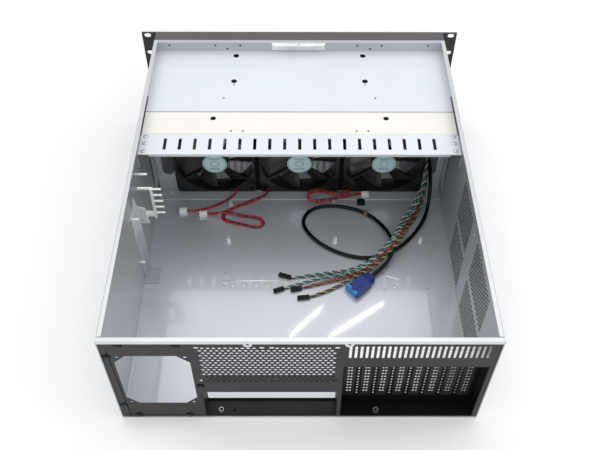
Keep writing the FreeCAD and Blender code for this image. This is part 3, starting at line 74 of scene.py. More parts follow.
# -------- camera
CAMERA_PLACE = (0.00418, 0.70960, 0.88150)
CAMERA_PITCH = math.radians(49.70)  # below the horizon, looking towards the front panel
CAMERA_YAW = math.radians(-0.395)
CAMERA_ROLL = math.radians(0.349)
CAMERA_LENS = 46.07


def add_camera():
    data = bpy.data.cameras.new("camera")
    data.lens = CAMERA_LENS
    data.sensor_width = 36.0
    data.clip_start = 0.05
    camera = new_object("camera", data)
    forward = Vector((0, -math.cos(CAMERA_PITCH), -math.sin(CAMERA_PITCH)))
    right = Vector((-1, 0, 0))
    up = right.cross(forward)
    turn = Matrix.Rotation(CAMERA_YAW, 3, "Z")
    forward, right, up = turn @ forward, turn @ right, turn @ up
    side = math.cos(CAMERA_ROLL) * right + math.sin(CAMERA_ROLL) * up
    rise = -math.sin(CAMERA_ROLL) * right + math.cos(CAMERA_ROLL) * up
    rotation = Matrix((side, rise, -forward)).transposed()
    camera.matrix_world = Matrix.Translation(CAMERA_PLACE) @ rotation.to_4x4()
    bpy.context.scene.camera = camera


# -------- materials
WHITE = (1, 1, 1)


def node_input(node, name, value):
    node.inputs[name].default_value = value


def tree(made):
    return made.node_tree.nodes, made.node_tree.links


def shader_of(made):
    return made.node_tree.nodes["Principled BSDF"]


def shaded(name, color, roughness, metallic=0.0, coat=0.0):
    """A material of one colour."""
    made = bpy.data.materials.new(name)
    made.use_nodes = True
    shader = shader_of(made)
    node_input(shader, "Base Color", (*color, 1.0))
    node_input(shader, "Roughness", roughness)
    node_input(shader, "Metallic", metallic)
    node_input(shader, "Coat Weight", coat)
    node_input(shader, "Coat Roughness", 0.15)
    made.diffuse_color = (*color, 1.0)
    return made


def link(made, source, node, socket):
    made.node_tree.links.new(source, node.inputs[socket])


def mapped_noise(made, scale, stretch=(1, 1, 1), detail=4.0, roughness=0.55):
    """Noise in object space, drawn out along an axis by stretch."""
    nodes, links = tree(made)
    place = nodes.new("ShaderNodeTexCoord")
    mapping = nodes.new("ShaderNodeMapping")
    noise = nodes.new("ShaderNodeTexNoise")
    node_input(mapping, "Scale", [1.0 / value for value in stretch])
    node_input(noise, "Scale", scale)
    node_input(noise, "Detail", detail)
    node_input(noise, "Roughness", roughness)
    links.new(place.outputs["Object"], mapping.inputs["Vector"])
    links.new(mapping.outputs["Vector"], noise.inputs["Vector"])
    return noise.outputs["Fac"]


def ramp(made, source, color, low, high, start=0.3, end=0.7):
    """From the low to the high share of a colour between start and end of the source."""
    node = made.node_tree.nodes.new("ShaderNodeValToRGB")
    for stop, place, share in zip(node.color_ramp.elements, (start, end), (low, high)):
        stop.position = place
        stop.color = (*(min(1.0, value * share) for value in color), 1.0)
    link(made, source, node, "Fac")
    return node.outputs["Color"]


def mix_node(made, first, second):
    node = made.node_tree.nodes.new("ShaderNodeMix")
    node.data_type = "RGBA"
    link(made, first, node, 6)
    link(made, second, node, 7)
    return node


def multiply(made, first, second):
    node = mix_node(made, first, second)
    node.blend_type = "MULTIPLY"
    node_input(node, 0, 1.0)
    return node.outputs[2]


def mixed(made, share, first, second):
    """The first colour where share is 0, the second where it is 1."""
    node = mix_node(made, first, second)
    link(made, share, node, 0)
    return node.outputs[2]


def to_shader(made, socket, source):
    link(made, source, shader_of(made), socket)


def scuffed(made, source, low, high):
    """Roughness from low to high with the source."""
    node = made.node_tree.nodes.new("ShaderNodeMapRange")
    node_input(node, "To Min", low)
    node_input(node, "To Max", high)
    link(made, source, node, "Value")
    to_shader(made, "Roughness", node.outputs["Result"])


def bumped(made, source, strength, distance):
    node = made.node_tree.nodes.new("ShaderNodeBump")
    node_input(node, "Strength", strength)
    node_input(node, "Distance", distance)
    link(made, source, node, "Height")
    to_shader(made, "Normal", node.outputs["Normal"])


def above(made, level, axis="Z", soft=0.0002):
    """0 up to a distance from the origin along an axis, counted both ways, and 1 beyond it."""
    nodes, links = tree(made)
    place = nodes.new("ShaderNodeTexCoord")
    split = nodes.new("ShaderNodeSeparateXYZ")
    size = nodes.new("ShaderNodeMath")
    size.operation = "ABSOLUTE"
    step = nodes.new("ShaderNodeMapRange")
    node_input(step, "From Min", level - soft)
    node_input(step, "From Max", level + soft)
    links.new(place.outputs["Object"], split.inputs["Vector"])
    links.new(split.outputs[axis], size.inputs[0])
    links.new(size.outputs[0], step.inputs["Value"])
    return step.outputs["Result"]


def sheet_steel(name, color, roughness, metallic, cloud=0.06, rolled=0.03, stretch=(1, 12, 1), coat=0.0):
    """Zinc plated sheet: cloudy patches, faint rolling lines along one axis and fine scuffs."""
    made = shaded(name, color, roughness, metallic, coat)
    clouds = mapped_noise(made, 7.0, detail=3.0)
    patches = ramp(made, clouds, color, 1 - cloud, 1 + cloud)
    lines = ramp(made, mapped_noise(made, 520.0, stretch, 2.0), WHITE, 1 - rolled, 1)
    to_shader(made, "Base Color", multiply(made, patches, lines))
    scuffed(made, mapped_noise(made, 30.0, (1, 3, 1), 5.0, 0.6), roughness - 0.04, roughness + 0.06)
    return made


def grained(name, color, roughness, specular, tone, gloss, grain, coat=0.0):
    """Uneven tone (scale, low, high), uneven gloss (scale, rise) and grain (scale, strength, depth)."""
    made = shaded(name, color, roughness, coat=coat)
    node_input(shader_of(made), "Specular IOR Level", specular)
    to_shader(made, "Base Color", ramp(made, mapped_noise(made, tone[0]), color, tone[1], tone[2]))
    scuffed(made, mapped_noise(made, gloss[0]), roughness - 0.05, roughness + gloss[1])
    bumped(made, mapped_noise(made, grain[0], detail=2.0), grain[1], grain[2])
    return made


def powder_coat(name, color, roughness, specular=0.5):
    """Fine orange-peel paint."""
    return grained(name, color, roughness, specular, (30.0, 0.85, 1.2), (150.0, 0.08),
                   (1800.0, 0.2, 0.05 * MM))


def moulded(name, color, roughness, grain=900.0, strength=0.12, coat=0.0, specular=0.5):
    """Moulded plastic."""
    return grained(name, color, roughness, specular, (45.0, 0.9, 1.1), (200.0, 0.06),
                   (grain, strength, 0.04 * MM), coat)


def two_tone(name, low, high, level, roughness, metallic, dark=None, reach=0.19, foot=0.004):
    """Sheet with one colour up to a level and another above it. With dark, the lower part is dark above its
    foot and short of its two ends: a band of painted shade."""
    made = shaded(name, high, roughness, metallic)
    clouds = mapped_noise(made, 8.0, detail=3.0)
    upright = ramp(made, clouds, low, 0.93, 1.07)
    if dark:
        painted_shade_tone = ramp(made, clouds, dark, 0.9, 1.1)
        field = mixed(made, above(made, reach, "X"), painted_shade_tone, upright)
        upright = mixed(made, above(made, foot), upright, field)
    flange = ramp(made, clouds, high, 0.98, 1.02)
    to_shader(made, "Base Color", mixed(made, above(made, level), upright, flange))
    scuffed(made, mapped_noise(made, 40.0), roughness - 0.05, roughness + 0.05)
    return made


def painted_shade_far(made, level, soft, share):
    """Painted shade: dulls a sheet's colour gradually with its distance along Y."""
    color = shader_of(made).inputs["Base Color"].links[0].from_socket
    shade = ramp(made, above(made, level, "Y", soft), WHITE, 1, share, 0.0, 1.0)
    to_shader(made, "Base Color", multiply(made, color, shade))


STEEL = sheet_steel("zinc_floor_steel", (0.59, 0.62, 0.67), 0.33, 0.5, 0.05, 0.0, coat=1.0)
node_input(shader_of(STEEL), "Coat IOR", 1.85)
node_input(shader_of(STEEL), "Coat Roughness", 0.05)
# Painted shade: the floor's colour darkens away from the middle along Y, towards the rear.
painted_shade_far(STEEL, 0.17, 0.13, 0.78)
WALL_STEEL = sheet_steel("zinc_wall_steel", (0.55, 0.58, 0.60), 0.40, 0.6, 0.04, 0.0)
# Bare steel of the lips, rails and ledges, lighter than the wall steel of the same sheet: painted light on
# faces turned up.
LIP_STEEL = sheet_steel("lip_steel_painted_light", (0.72, 0.73, 0.75), 0.35, 0.6, stretch=(1, 30, 1))
BULKHEAD = sheet_steel("bulkhead_steel", (0.50, 0.54, 0.57), 0.42, 0.3, 0.04, 0.0)
# Near-black edges for the vents and floor holes: painted shade inside the holes.
HOLE_EDGE_SHADE = sheet_steel("hole_edge_painted_shade", (0.02, 0.021, 0.022), 0.5, 0.3)
PLATE = sheet_steel("bright_plate_steel", (0.79, 0.83, 0.88), 0.42, 0.25, 0.02, 0.01, (12, 1, 1))
# Painted shade: the upright within 190 mm of the middle, above its foot, is nearly black.
FAN_WALL = two_tone("fan_wall_steel", (0.50, 0.53, 0.56), (0.93, 0.91, 0.85), 0.1572, 0.42, 0.3,
                    (0.02, 0.02, 0.021))
# One steel in three brightnesses, darkest on the foot and lightest above 88 mm: painted shade and painted
# light.
BRACKET = two_tone("bracket_steel", (0.43, 0.45, 0.48), (0.74, 0.76, 0.78), 0.088, 0.4, 0.4,
                   (0.55, 0.58, 0.62), 0.5, 0.003)
WHITE_PAINT = powder_coat("white_bracket_paint", (0.88, 0.89, 0.90), 0.45)
BLACK = powder_coat("black_powder_coat", (0.012, 0.0095, 0.0097), 0.44, 0.28)
REAR_BLACK = powder_coat("black_rear_coat", (0.022, 0.0175, 0.0178), 0.42, 0.32)
# A darker copy of the rear black for the slot recess: painted shade.
POCKET_BLACK = powder_coat("black_recess_painted_shade", (0.0045, 0.004, 0.004), 0.5, 0.14)
# The black front's top above 175.7 mm is a lighter grey copy of its paint: painted light.
FRONT_BLACK = two_tone("black_front_coat", (0.014, 0.0115, 0.0115), (0.100, 0.090, 0.098), 0.1757, 0.42, 0.0)
COVER_BLACK = powder_coat("black_cover_coat", (0.022, 0.018, 0.019), 0.45, 0.22)
# Black for painted shade in holes, gaps and grooves, and for the rear screws' washers.
SHADOW_BLACK = powder_coat("black_washer_and_painted_shade", (0.006, 0.006, 0.006), 0.7, 0.1)
SCREW = sheet_steel("nickel_screw", (0.66, 0.66, 0.66), 0.22, 1.0, 0.05, 0.02, (1, 1, 1))
BRIGHT = sheet_steel("bright_screw", (0.88, 0.89, 0.90), 0.3, 0.5, 0.03, 0.0, (1, 1, 1))
NUT = sheet_steel("ring_nut_steel", (0.36, 0.36, 0.36), 0.35, 0.7, 0.05, 0.0, (1, 1, 1))
BLACK_SCREW = powder_coat("black_screw", (0.0022, 0.0022, 0.0022), 0.25, 0.16)
BLACK_PLASTIC = moulded("black_fan_plastic", (0.0062, 0.006, 0.0065), 0.28, specular=0.36)
SMOKE = moulded("smoke_blade_plastic", (0.045, 0.040, 0.038), 0.2, strength=0.05, coat=0.4)
LABEL = moulded("mint_label_film", (0.68, 0.93, 0.91), 0.32, 400.0, 0.03)
LABEL_INK = moulded("label_ink", (0.06, 0.22, 0.22), 0.4, 400.0, 0.02)
NYLON = moulded("white_nylon", (0.93, 0.93, 0.89), 0.36, coat=0.1)
COMB = moulded("pale_comb_nylon", (0.74, 0.78, 0.71), 0.4, coat=0.1)
BLUE = moulded("blue_plug_plastic", (0.004, 0.026, 0.20), 0.36)
LIGHT_BLUE = moulded("blue_plug_mouth", (0.05, 0.33, 0.72), 0.4)
JACKET = moulded("black_cable_jacket", (0.0022, 0.0022, 0.0027), 0.16, 300.0, 0.03, specular=0.22)
PLUG_BLACK = moulded("black_plug_plastic", (0.003, 0.003, 0.003), 0.3, specular=0.2)
TIE = moulded("brown_twist_tie", (0.20, 0.09, 0.05), 0.45)
BOARD = moulded("circuit_board", (0.02, 0.12, 0.06), 0.30, coat=0.3)
LENS = moulded("clear_lens", (0.75, 0.80, 0.84), 0.12, coat=0.4)
WIRE_COLORS = {"teal": (0.004, 0.15, 0.14), "white": (0.66, 0.66, 0.60), "red": (0.46, 0.010, 0.026),
               "green": (0.005, 0.05, 0.02), "orange": (0.36, 0.13, 0.04), "yellow": (0.60, 0.44, 0.10),
               "black": (0.004, 0.004, 0.005)}
WIRES = {word: moulded("wire_" + word, color, 0.33, 400.0, 0.05, 0.1) for word, color in WIRE_COLORS.items()}


# -------- mesh helpers
def link_mesh(name, bm, made, smooth=False):
    mesh = bpy.data.meshes.new(name)
    bmesh.ops.recalc_face_normals(bm, faces=bm.faces)
    bm.to_mesh(mesh)
    bm.free()
    for one in made if isinstance(made, (list, tuple)) else [made]:
        mesh.materials.append(one)
    for face in mesh.polygons:
        face.use_smooth = smooth
    return new_object(name, mesh)


BEND_STEPS = 4
BLOCK_RINGS = ((0, 1, 3, 2), (4, 6, 7, 5), (0, 4, 5, 1), (2, 3, 7, 6), (0, 2, 6, 4), (1, 5, 7, 3))


def add_face(bm, corners, index):
    bm.faces.new(corners).material_index = index


def close_block(bm, corners, index):
    """The six faces of a block from its eight corners, the last coordinate changing fastest."""
    verts = [bm.verts.new(corner) for corner in corners]
    for ring in BLOCK_RINGS:
        add_face(bm, [verts[i] for i in ring], index)


def add_block(bm, low, high, index=0):
    """A closed block between two corners."""
    spans = [(low[i], high[i]) for i in range(3)]
    close_block(bm, [(x, y, z) for x in spans[0] for y in spans[1] for z in spans[2]], index)


def plane_point(plane, u, v, w):
    """A point from its two coordinates in a plane and its place w along the plane's axis."""
    return {"x": (w, u, v), "y": (u, w, v), "z": (u, v, w)}[plane]


def add_sheet(bm, loops, plane, low, high, index=0, edge=None):
    """A flat sheet with holes: the first loop is its outline, the others are holes, w from low to high.
    Edge is the material of the holes' edges, where it isn't the sheet's."""
    flat = [[Vector((u, v, 0)) for u, v in loop] for loop in loops]
    triangles = geometry.tessellate_polygon(flat)
    points = [point for loop in flat for point in loop]
    bottom, top = ([bm.verts.new(plane_point(plane, p.x, p.y, w)) for p in points] for w in (low, high))
    for a, b, c in triangles:
        add_face(bm, (bottom[a], bottom[b], bottom[c]), index)
        add_face(bm, (top[c], top[b], top[a]), index)
    start = 0
    for number, loop in enumerate(loops):
        count = len(loop)
        for i in range(count):
            a, b = start + i, start + (i + 1) % count
            side = bm.faces.new((bottom[a], bottom[b], top[b], top[a]))
            side.material_index = index if edge is None or number == 0 else edge
        start += count


def add_mark(bm, loops, plane, level, index=0):
    """A thin flat mark on a face."""
    add_sheet(bm, loops, plane, level - SINK, level + FILM, index)


def bent_loop(corners, radius, thickness):
    """Outline of a bent sheet seen end on: its outer face runs through the corners, rounded at the bends."""
    places = [Vector(corner) for corner in corners]
    first, second = places[1] - places[0], places[2] - places[1]
    turn = 1.0 if first.x * second.y - first.y * second.x > 0 else -1.0  # 1 for a path that turns left
    outer, inner = [], []
    for i, place in enumerate(places):
        if i in (0, len(places) - 1):
            run = (places[1] - place if i == 0 else place - places[-2]).normalized()
            outer.append(place.copy())
            inner.append(place + turn * thickness * Vector((-run.y, run.x)))
            continue
        before, after = (place - places[i - 1]).normalized(), (places[i + 1] - place).normalized()
        centre = place - before * radius + after * radius
        for k in range(BEND_STEPS + 1):
            angle = math.pi / 2 * k / BEND_STEPS
            spoke = before * math.sin(angle) - after * math.cos(angle)
            outer.append(centre + spoke * radius)
            inner.append(centre + spoke * (radius - thickness))
    return [(p.x, p.y) for p in outer + inner[::-1]]


def ring_of_points(bm, middle, u, v, radius, sides):
    return [bm.verts.new(middle + radius * (math.cos(a) * u + math.sin(a) * v))
            for a in (2 * math.pi * k / sides for k in range(sides))]


def join_rings(bm, rings, sides, index):
    """The faces between rings, each of which may be a single point, and the first cap."""
    for first, second in zip(rings, rings[1:]):
        for k in range(sides):
            after = (k + 1) % sides
            corners = [first[k], first[after]] if len(first) > 1 else [first[0]]
            corners += [second[after], second[k]] if len(second) > 1 else [second[0]]
            add_face(bm, corners, index)
    add_face(bm, rings[0][::-1], index)


def add_turned(bm, centre, axis, profile, sides, index=0):
    """A lathe shape on an axis: profile is a list of (radius, height) ending at radius 0."""
    axis = Vector(axis).normalized()
    u = axis.orthogonal().normalized()
    v = axis.cross(u)
    centre = Vector(centre)
    rings = []
    for radius, height in profile:
        middle = centre + axis * height
        rings.append(ring_of_points(bm, middle, u, v, radius, sides) if radius else [bm.verts.new(middle)])
    join_rings(bm, rings, sides, index)


def add_disc(bm, centre, axis, radius, height, sides, index=0):
    """A flat disc standing on its centre."""
    add_turned(bm, centre, axis, [(radius, 0), (radius, height), (0, height)], sides, index)


def add_rivet(bm, centre, axis, sizes, index=0):
    """A low dome in mm: radius of the foot, radius and height of the shoulder, height of the crown."""
    foot, shoulder, rise, crown = sizes
    add_turned(bm, centre, axis, in_mm([(foot, 0), (shoulder, rise), (0, crown)]), 16, index)


def joined(name):
    """A node's mesh with its faces joined at their corners."""
    bm = bmesh.new()
    bm.from_mesh(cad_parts[name].data)
    bmesh.ops.remove_doubles(bm, verts=bm.verts, dist=1e-6)
    return bm


def islands(name):
    """The low and high corner of each loose piece of a node."""
    bm = joined(name)
    left = set(bm.verts)
    found = []
    while left:
        group, queue = [], [left.pop()]
        while queue:
            vertex = queue.pop()
            group.append(vertex.co.copy())
            for edge in vertex.link_edges:
                other = edge.other_vert(vertex)
                if other in left:
                    left.remove(other)
                    queue.append(other)
        found.append(tuple(Vector(pick(p[i] for p in group) for i in range(3)) for pick in (min, max)))
    bm.free()
    return sorted(found, key=lambda pair: tuple(pair[0]))


def rectangle(u0, u1, v0, v1):
    return [(u0, v0), (u1, v0), (u1, v1), (u0, v1)]


def ring_loop(u, v, radius, count=16, stretch_u=0.0, stretch_v=0.0):
    """Points round a circle, drawn out into a slot along u or v."""
    loop = []
    for i in range(count):
        angle = 2 * math.pi * (i + 0.5) / count
        shift_u = math.copysign(stretch_u / 2, math.cos(angle))
        shift_v = math.copysign(stretch_v / 2, math.sin(angle))
        loop.append((u + radius * math.cos(angle) + shift_u, v + radius * math.sin(angle) + shift_v))
    return loop


def finish_piece(piece, slot_name, *nodes):
    """Everything that is added here belongs to the case's own body."""
    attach(piece, CASE)
    if nodes:
        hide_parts(*nodes)


def coat(made, *names):
    for name in names:
        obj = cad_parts[name]
        obj.data.materials.clear()
        obj.data.materials.append(made)


# -------- carried-over nodes
PANEL_PLUGS = ["panel_plug_%d" % i for i in range(1, 5)]
FAN_PLUGS, FAN_FRAMES, FAN_ROTORS = (["fan_%s_%s" % (part, side) for side in ("left", "middle", "right")]
                                     for part in ("plug", "frame", "rotor"))
FINE_EDGE = 0.3 * MM
FRAME_EDGE = 0.5 * MM


def soften(width, *names):
    """Small rounded edges on carried-over nodes."""
    for name in names:
        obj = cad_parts[name]
        weld = obj.modifiers.new("weld", "WELD")
        weld.merge_threshold = 0.000002
        bevel = obj.modifiers.new("bevel", "BEVEL")
        bevel.width = width
        bevel.segments = 2
        bevel.limit_method = "ANGLE"
        bevel.angle_limit = math.radians(50)


def dress_nodes():
    coat(WALL_STEEL, "fan_mount_plate", "crossbar_rests")
    # The rail and ledge take the lighter lip steel: painted light.
    coat(LIP_STEEL, "rear_rail", "slot_ledge")
    coat(BRIGHT, "standoffs")
    coat(BULKHEAD, "front_bulkhead")
    coat(BRACKET, "psu_support_bracket")
    coat(PLATE, "drive_bay_cover", "crossbar")
    coat(FAN_WALL, "fan_wall")
    coat(WHITE_PAINT, "front_bracket")
    coat(FRONT_BLACK, "front_panel")
    coat(BLACK, "io_pocket")
    coat(SCREW, "fan_screws", "usb_sockets")
    coat(NUT, "ring_nuts")
    coat(BLACK_PLASTIC, "switches", "power_button", "reset_button", "cable_clip", *FAN_FRAMES)
    coat(PLUG_BLACK, *PANEL_PLUGS)
    coat(SMOKE, *FAN_ROTORS)
    coat(LABEL, "fan_labels")
    coat(COMB, "cable_comb")
    coat(NYLON, *FAN_PLUGS)
    coat(BOARD, "front_board")
    coat(LENS, "light_lenses")
    soften(FINE_EDGE, "front_bracket", "rear_rail", "psu_support_bracket", "crossbar_rests", "cable_comb",
           "io_pocket", *FAN_PLUGS, *PANEL_PLUGS)
    soften(FRAME_EDGE, *FAN_FRAMES)


# -------- chassis tub
SHEET = 1.2 * MM
LIP = 6.0 * MM
LIP_STOP = 6.0 * MM
BEND = 1.9 * MM
# from the front and to, from the floor and to
VENTS = ((285, 356, 79, 150), (287, 357, 5, 71), (390, 480, 81, 150), (388, 480, 5, 72))
VENT_ALONG = 3.7 * MM
VENT_UP = 5.6 * MM
VENT_HOLE = 1.6 * MM
VENT_REACH = 1.7 * MM
FLOOR_HOLES = ((105.4, 328.3), (106.1, 351.7), (-179.4, 356), (-120.1, 357.6))
FLOOR_HOLE = 1.7 * MM


def vent_loops():
    """Short upright slots of the -X wall's four fields, in staggered columns, as loops in (y, z)."""
    loops = []
    for near, far, low, high in VENTS:
        columns = int((far - near) * MM / VENT_ALONG)
        rows = int((high - low) * MM / VENT_UP - 0.5)
        for column in range(columns):
            y = FRONT + near * MM + (column + 0.5) * (far - near) * MM / columns
            for row in range(rows):
                z = low * MM + (row + 0.5 + 0.5 * (column % 2)) * (high - low) * MM / (rows + 0.5)
                loops.append(ring_loop(y, z, VENT_HOLE, 6, 0.0, VENT_REACH))
    return loops


def make_tub():
    """The folded tub: floor, rounded bends, side walls with lips, and the fine vents of the -X wall."""
    low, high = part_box("chassis_tub")
    side, top, y0, y1 = high.x, high.z, low.y, high.y
    fold, lower, upper = 4.0 * MM, 3.0 * MM, top - 4.0 * MM
    bm = bmesh.new()
    lipped = [(side - LIP, top), (side, top), (side, 0.0), (side - fold, 0.0)]
    bottom_bend = [(-side, lower), (-side, 0.0), (-side + fold, 0.0)]
    top_bend = [(-side, upper), (-side, top), (-side + LIP, top)]
    add_sheet(bm, [bent_loop(lipped, BEND, SHEET)], "y", y0, y1 - LIP_STOP, 1)
    add_sheet(bm, [bent_loop(lipped[1:], BEND, SHEET)], "y", y1 - LIP_STOP, y1, 1)
    add_sheet(bm, [bent_loop(bottom_bend, BEND, SHEET)], "y", y0, y1, 1)
    add_sheet(bm, [bent_loop(top_bend, BEND, SHEET)], "y", y0, y1 - LIP_STOP, 1)
    add_block(bm, (-side, y1 - LIP_STOP, upper), (-side + SHEET, y1, top), 1)
    # The edges of the vents here and of the floor holes below take the near-black hole edge steel: painted
    # shade.
    add_sheet(bm, [rectangle(y0, y1, lower, upper)] + vent_loops(), "x", -side, -side + SHEET, 1, 2)
    holes = [ring_loop(*spot(x, away, 0).xy, FLOOR_HOLE, 20) for x, away in FLOOR_HOLES]
    add_sheet(bm, [rectangle(-side + fold, side - fold, y0, y1)] + holes, "z", 0.0, SHEET, 0, 2)
    # The faces at the top take the lighter lip steel: painted light on the lips.
    for face in bm.faces:
        if face.calc_center_median().z > top - SHEET * 1.2:
            face.material_index = 3
    piece = link_mesh("tub_sheets", bm, [STEEL, WALL_STEEL, HOLE_EDGE_SHADE, LIP_STEEL])
    finish_piece(piece, "galvanised_steel", "chassis_tub")


# -------- rear sheets
WALL = 0.8 * MM  # the rear face and the covers are thinner than the tub
GRILLE = (24, 15, -41, 113, 86, 163)  # columns, rows, x from and to, z from and to
GRILLE_HOLE = 2.1
SCREW_ROOM = 5.4  # no grille hole is nearer than this to a fan screw
REAR_FAN_SCREWS = [(x + across, 125.8 + rise)
                   for x in (-4.7, 77.4) for across in (-35.75, 35.75) for rise in (-35.75, 35.75)]
PSU = (122.5, 207, 34.9, 144.9, 14)  # x from and to, z from and to, cut corner
PSU_SCREWS = (37.5, 51.85)  # from the middle of the opening
SCREW_HOLE = 2.1
AIR_SLOTS = (26, -206.8, 6.07, 152.15, 1.6, 22.1)  # count, first, pitch, middle, radius, straight part
FOLD_SHADES = ((211.6, 157, 208.4, 3.4), (208.4, 4.2, 121, 4.2))
FOLD_SHADE_HALF = 0.55
SLOT_PITCH = 20.32
SLOTS = [-131.2 + (index - 3.5) * SLOT_PITCH for index in range(8)]
SLOT_HALF, SLOT_FOOT, SLOT_HEAD = 6.7, 14, 108
RIB_HOLES = (14, 21, 6.6, 1.25, 0.5)  # count, first, pitch, radius, straight part
COVER_HOLES = (11, 25.5, 6.9, 1.3, 0.9)
COVER_COLUMN = 1.75
TAB_HOLE, TAB_REACH = 1.9, 5.5


def grille_loops():
    """Slightly long holes in staggered rows, left out round the fan screws."""
    columns, rows, x0, x1, z0, z1 = GRILLE
    pitch_x, pitch_z = (x1 - x0) / (columns + 0.5), (z1 - z0) / rows
    loops = []
    for row in range(rows):
        z = z0 + pitch_z * (row + 0.5)
        for column in range(columns):
            x = x0 + pitch_x * (column + 0.5 + 0.5 * (row % 2))
            if min(math.hypot(x - u, z - v) for u, v in REAR_FAN_SCREWS) > SCREW_ROOM:
                loops.append(in_mm(ring_loop(x, z, GRILLE_HOLE, 8, 0.45)))
    return loops


def make_rear_panel():
    """The black rear face with its grille, power supply opening, air slots and side flanges, and dark strips
    of painted shade along its fold lines.
    """
    low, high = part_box("rear_panel")
    left, bottom = low.x / MM, low.z / MM
    right, top = high.x / MM, high.z / MM
    outline = [(left, bottom), (-213.6, bottom), (-213.6, 121.6), (-48.8, 121.6), (-48.8, bottom),
               (-46, bottom), (-46, 63.8), (116.3, 63.8), (116.3, bottom), (right, bottom), (right, top),
               (left, top)]
    x0, x1, z0, z1, c = PSU
    opening = [(x0 + c, z0), (x1 - c, z0), (x1, z0 + c), (x1, z1 - c),
               (x1 - c, z1), (x0 + c, z1), (x0, z1 - c), (x0, z0 + c)]
    loops = [in_mm(outline), in_mm(opening)] + grille_loops()
    across, rise = PSU_SCREWS
    for x in ((x0 + x1) / 2 - across, (x0 + x1) / 2 + across):
        for z in ((z0 + z1) / 2 - rise, (z0 + z1) / 2 + rise):
            loops.append(in_mm(ring_loop(x, z, SCREW_HOLE)))
    loops += [in_mm(ring_loop(x, z, SCREW_HOLE, 16, 1.8)) for x, z in REAR_FAN_SCREWS]
    count, first, pitch, middle, radius, reach = AIR_SLOTS
    loops += [in_mm(ring_loop(first + i * pitch, middle, radius, 12, 0, reach)) for i in range(count)]
    bm = bmesh.new()
    add_sheet(bm, loops, "y", high.y - WALL, high.y)
    for x in (low.x, high.x - SHEET):
        add_block(bm, (x, low.y, low.z), (x + SHEET, high.y - WALL, high.z - SHEET))
    # Painted shade: a dark strip along each fold line.
    for u0, v0, u1, v1 in FOLD_SHADES:
        du, dv = (FOLD_SHADE_HALF, 0.0) if abs(v1 - v0) > abs(u1 - u0) else (0.0, FOLD_SHADE_HALF)
        strip = [(u0 - du, v0 - dv), (u0 + du, v0 + dv), (u1 + du, v1 + dv), (u1 - du, v1 - dv)]
        add_mark(bm, [in_mm(strip)], "y", high.y, 1)
    finish_piece(link_mesh("rear_face", bm, [REAR_BLACK, SHADOW_BLACK]), "black_paint", "rear_panel")


def column_loops(x, holes):
    """A column of small upright slots at x."""
    count, first, pitch, radius, reach = holes
    return [in_mm(ring_loop(x, first + row * pitch, radius, 12, 0, reach)) for row in range(count)]


def make_slot_pocket():
    """Recess behind the card slots: thin back with openings and ribs and black sides, in a darker black of
    painted shade, and on top the lighter lip steel, painted light.
    """
    low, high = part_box("slot_pocket")
    loops = [rectangle(low.x, high.x, low.z, high.z)]
    loops += [in_mm(rectangle(x - SLOT_HALF, x + SLOT_HALF, SLOT_FOOT, SLOT_HEAD)) for x in SLOTS]
    for x in SLOTS[1:]:
        loops += column_loops(x - SLOT_PITCH / 2, RIB_HOLES)
    bm = bmesh.new()
    add_sheet(bm, loops, "y", low.y, low.y + WALL / 2)
    add_block(bm, (low.x, low.y + WALL / 2, low.z), (high.x, high.y, low.z + SHEET))
    add_block(bm, (low.x, low.y + WALL / 2, high.z - SHEET), (high.x, high.y, high.z - SINK))
    add_block(bm, (low.x, low.y, high.z - SINK), (high.x, high.y - WALL - SINK, high.z), 1)
    for x in (low.x, high.x - SHEET):
        add_block(bm, (x, low.y + WALL / 2, low.z + SHEET), (x + SHEET, high.y, high.z - SHEET))
    finish_piece(link_mesh("slot_recess", bm, [POCKET_BLACK, LIP_STEEL]), "black_paint", "slot_pocket")


def make_slot_covers():
    """Eight vented covers: two columns of small slots in each blade, and a screw tab bent to the front."""
    for number, x in enumerate(SLOTS, 1):
        name = "slot_cover_%d" % number
        low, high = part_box(name)
        loops = [rectangle(low.x, high.x, low.z, high.z - WALL)]
        loops += column_loops(x - COVER_COLUMN, COVER_HOLES) + column_loops(x + COVER_COLUMN, COVER_HOLES)
        bm = bmesh.new()
        add_sheet(bm, loops, "y", high.y - WALL / 2, high.y)
        hole = in_mm(ring_loop(x, low.y / MM + TAB_REACH, TAB_HOLE))
        add_sheet(bm, [rectangle(low.x, high.x, low.y, high.y), hole], "z", high.z - WALL, high.z)
        finish_piece(link_mesh(name + "_sheet", bm, COVER_BLACK), "black_paint", name)


# across on both sides, distance from the front, radius
PLATE_HOLES = ((96, 34.9, 3.5), (96, 95, 3.5), (95.7, 103, 1.2), (108.8, 132.5, 1.2), (121, 175.8, 4),
               (94.7, 201.5, 1.5), (78.4, 201.5, 1.5))
# Dark rims of painted shade round these holes, in the same columns.
SHADE_RIMS = ((96, 34.9, 4.3), (96, 95, 4.3), (95.7, 103, 1.3), (108.8, 132.5, 1.5))
BACK_DROP, BACK_FOOT, BACK_RIM, BACK_PLAY = 2.6, 1.38, 0.8, 0.02
SMALL_DEPTH, LARGE_DEPTH = 0.25, 0.9  # of the backs in holes under 2 mm radius, and in larger ones
# across, drop below the top
BULKHEAD_HOLES = ((197.3, 9), (127.6, 9), (90, 9), (-87.7, 9), (-125, 9), (-195.5, 9),
                  (109.9, 15), (-107.6, 15))
BULKHEAD_HOLE = 1.59
JOINT_SHADE_WIDTH = 0.85 * MM


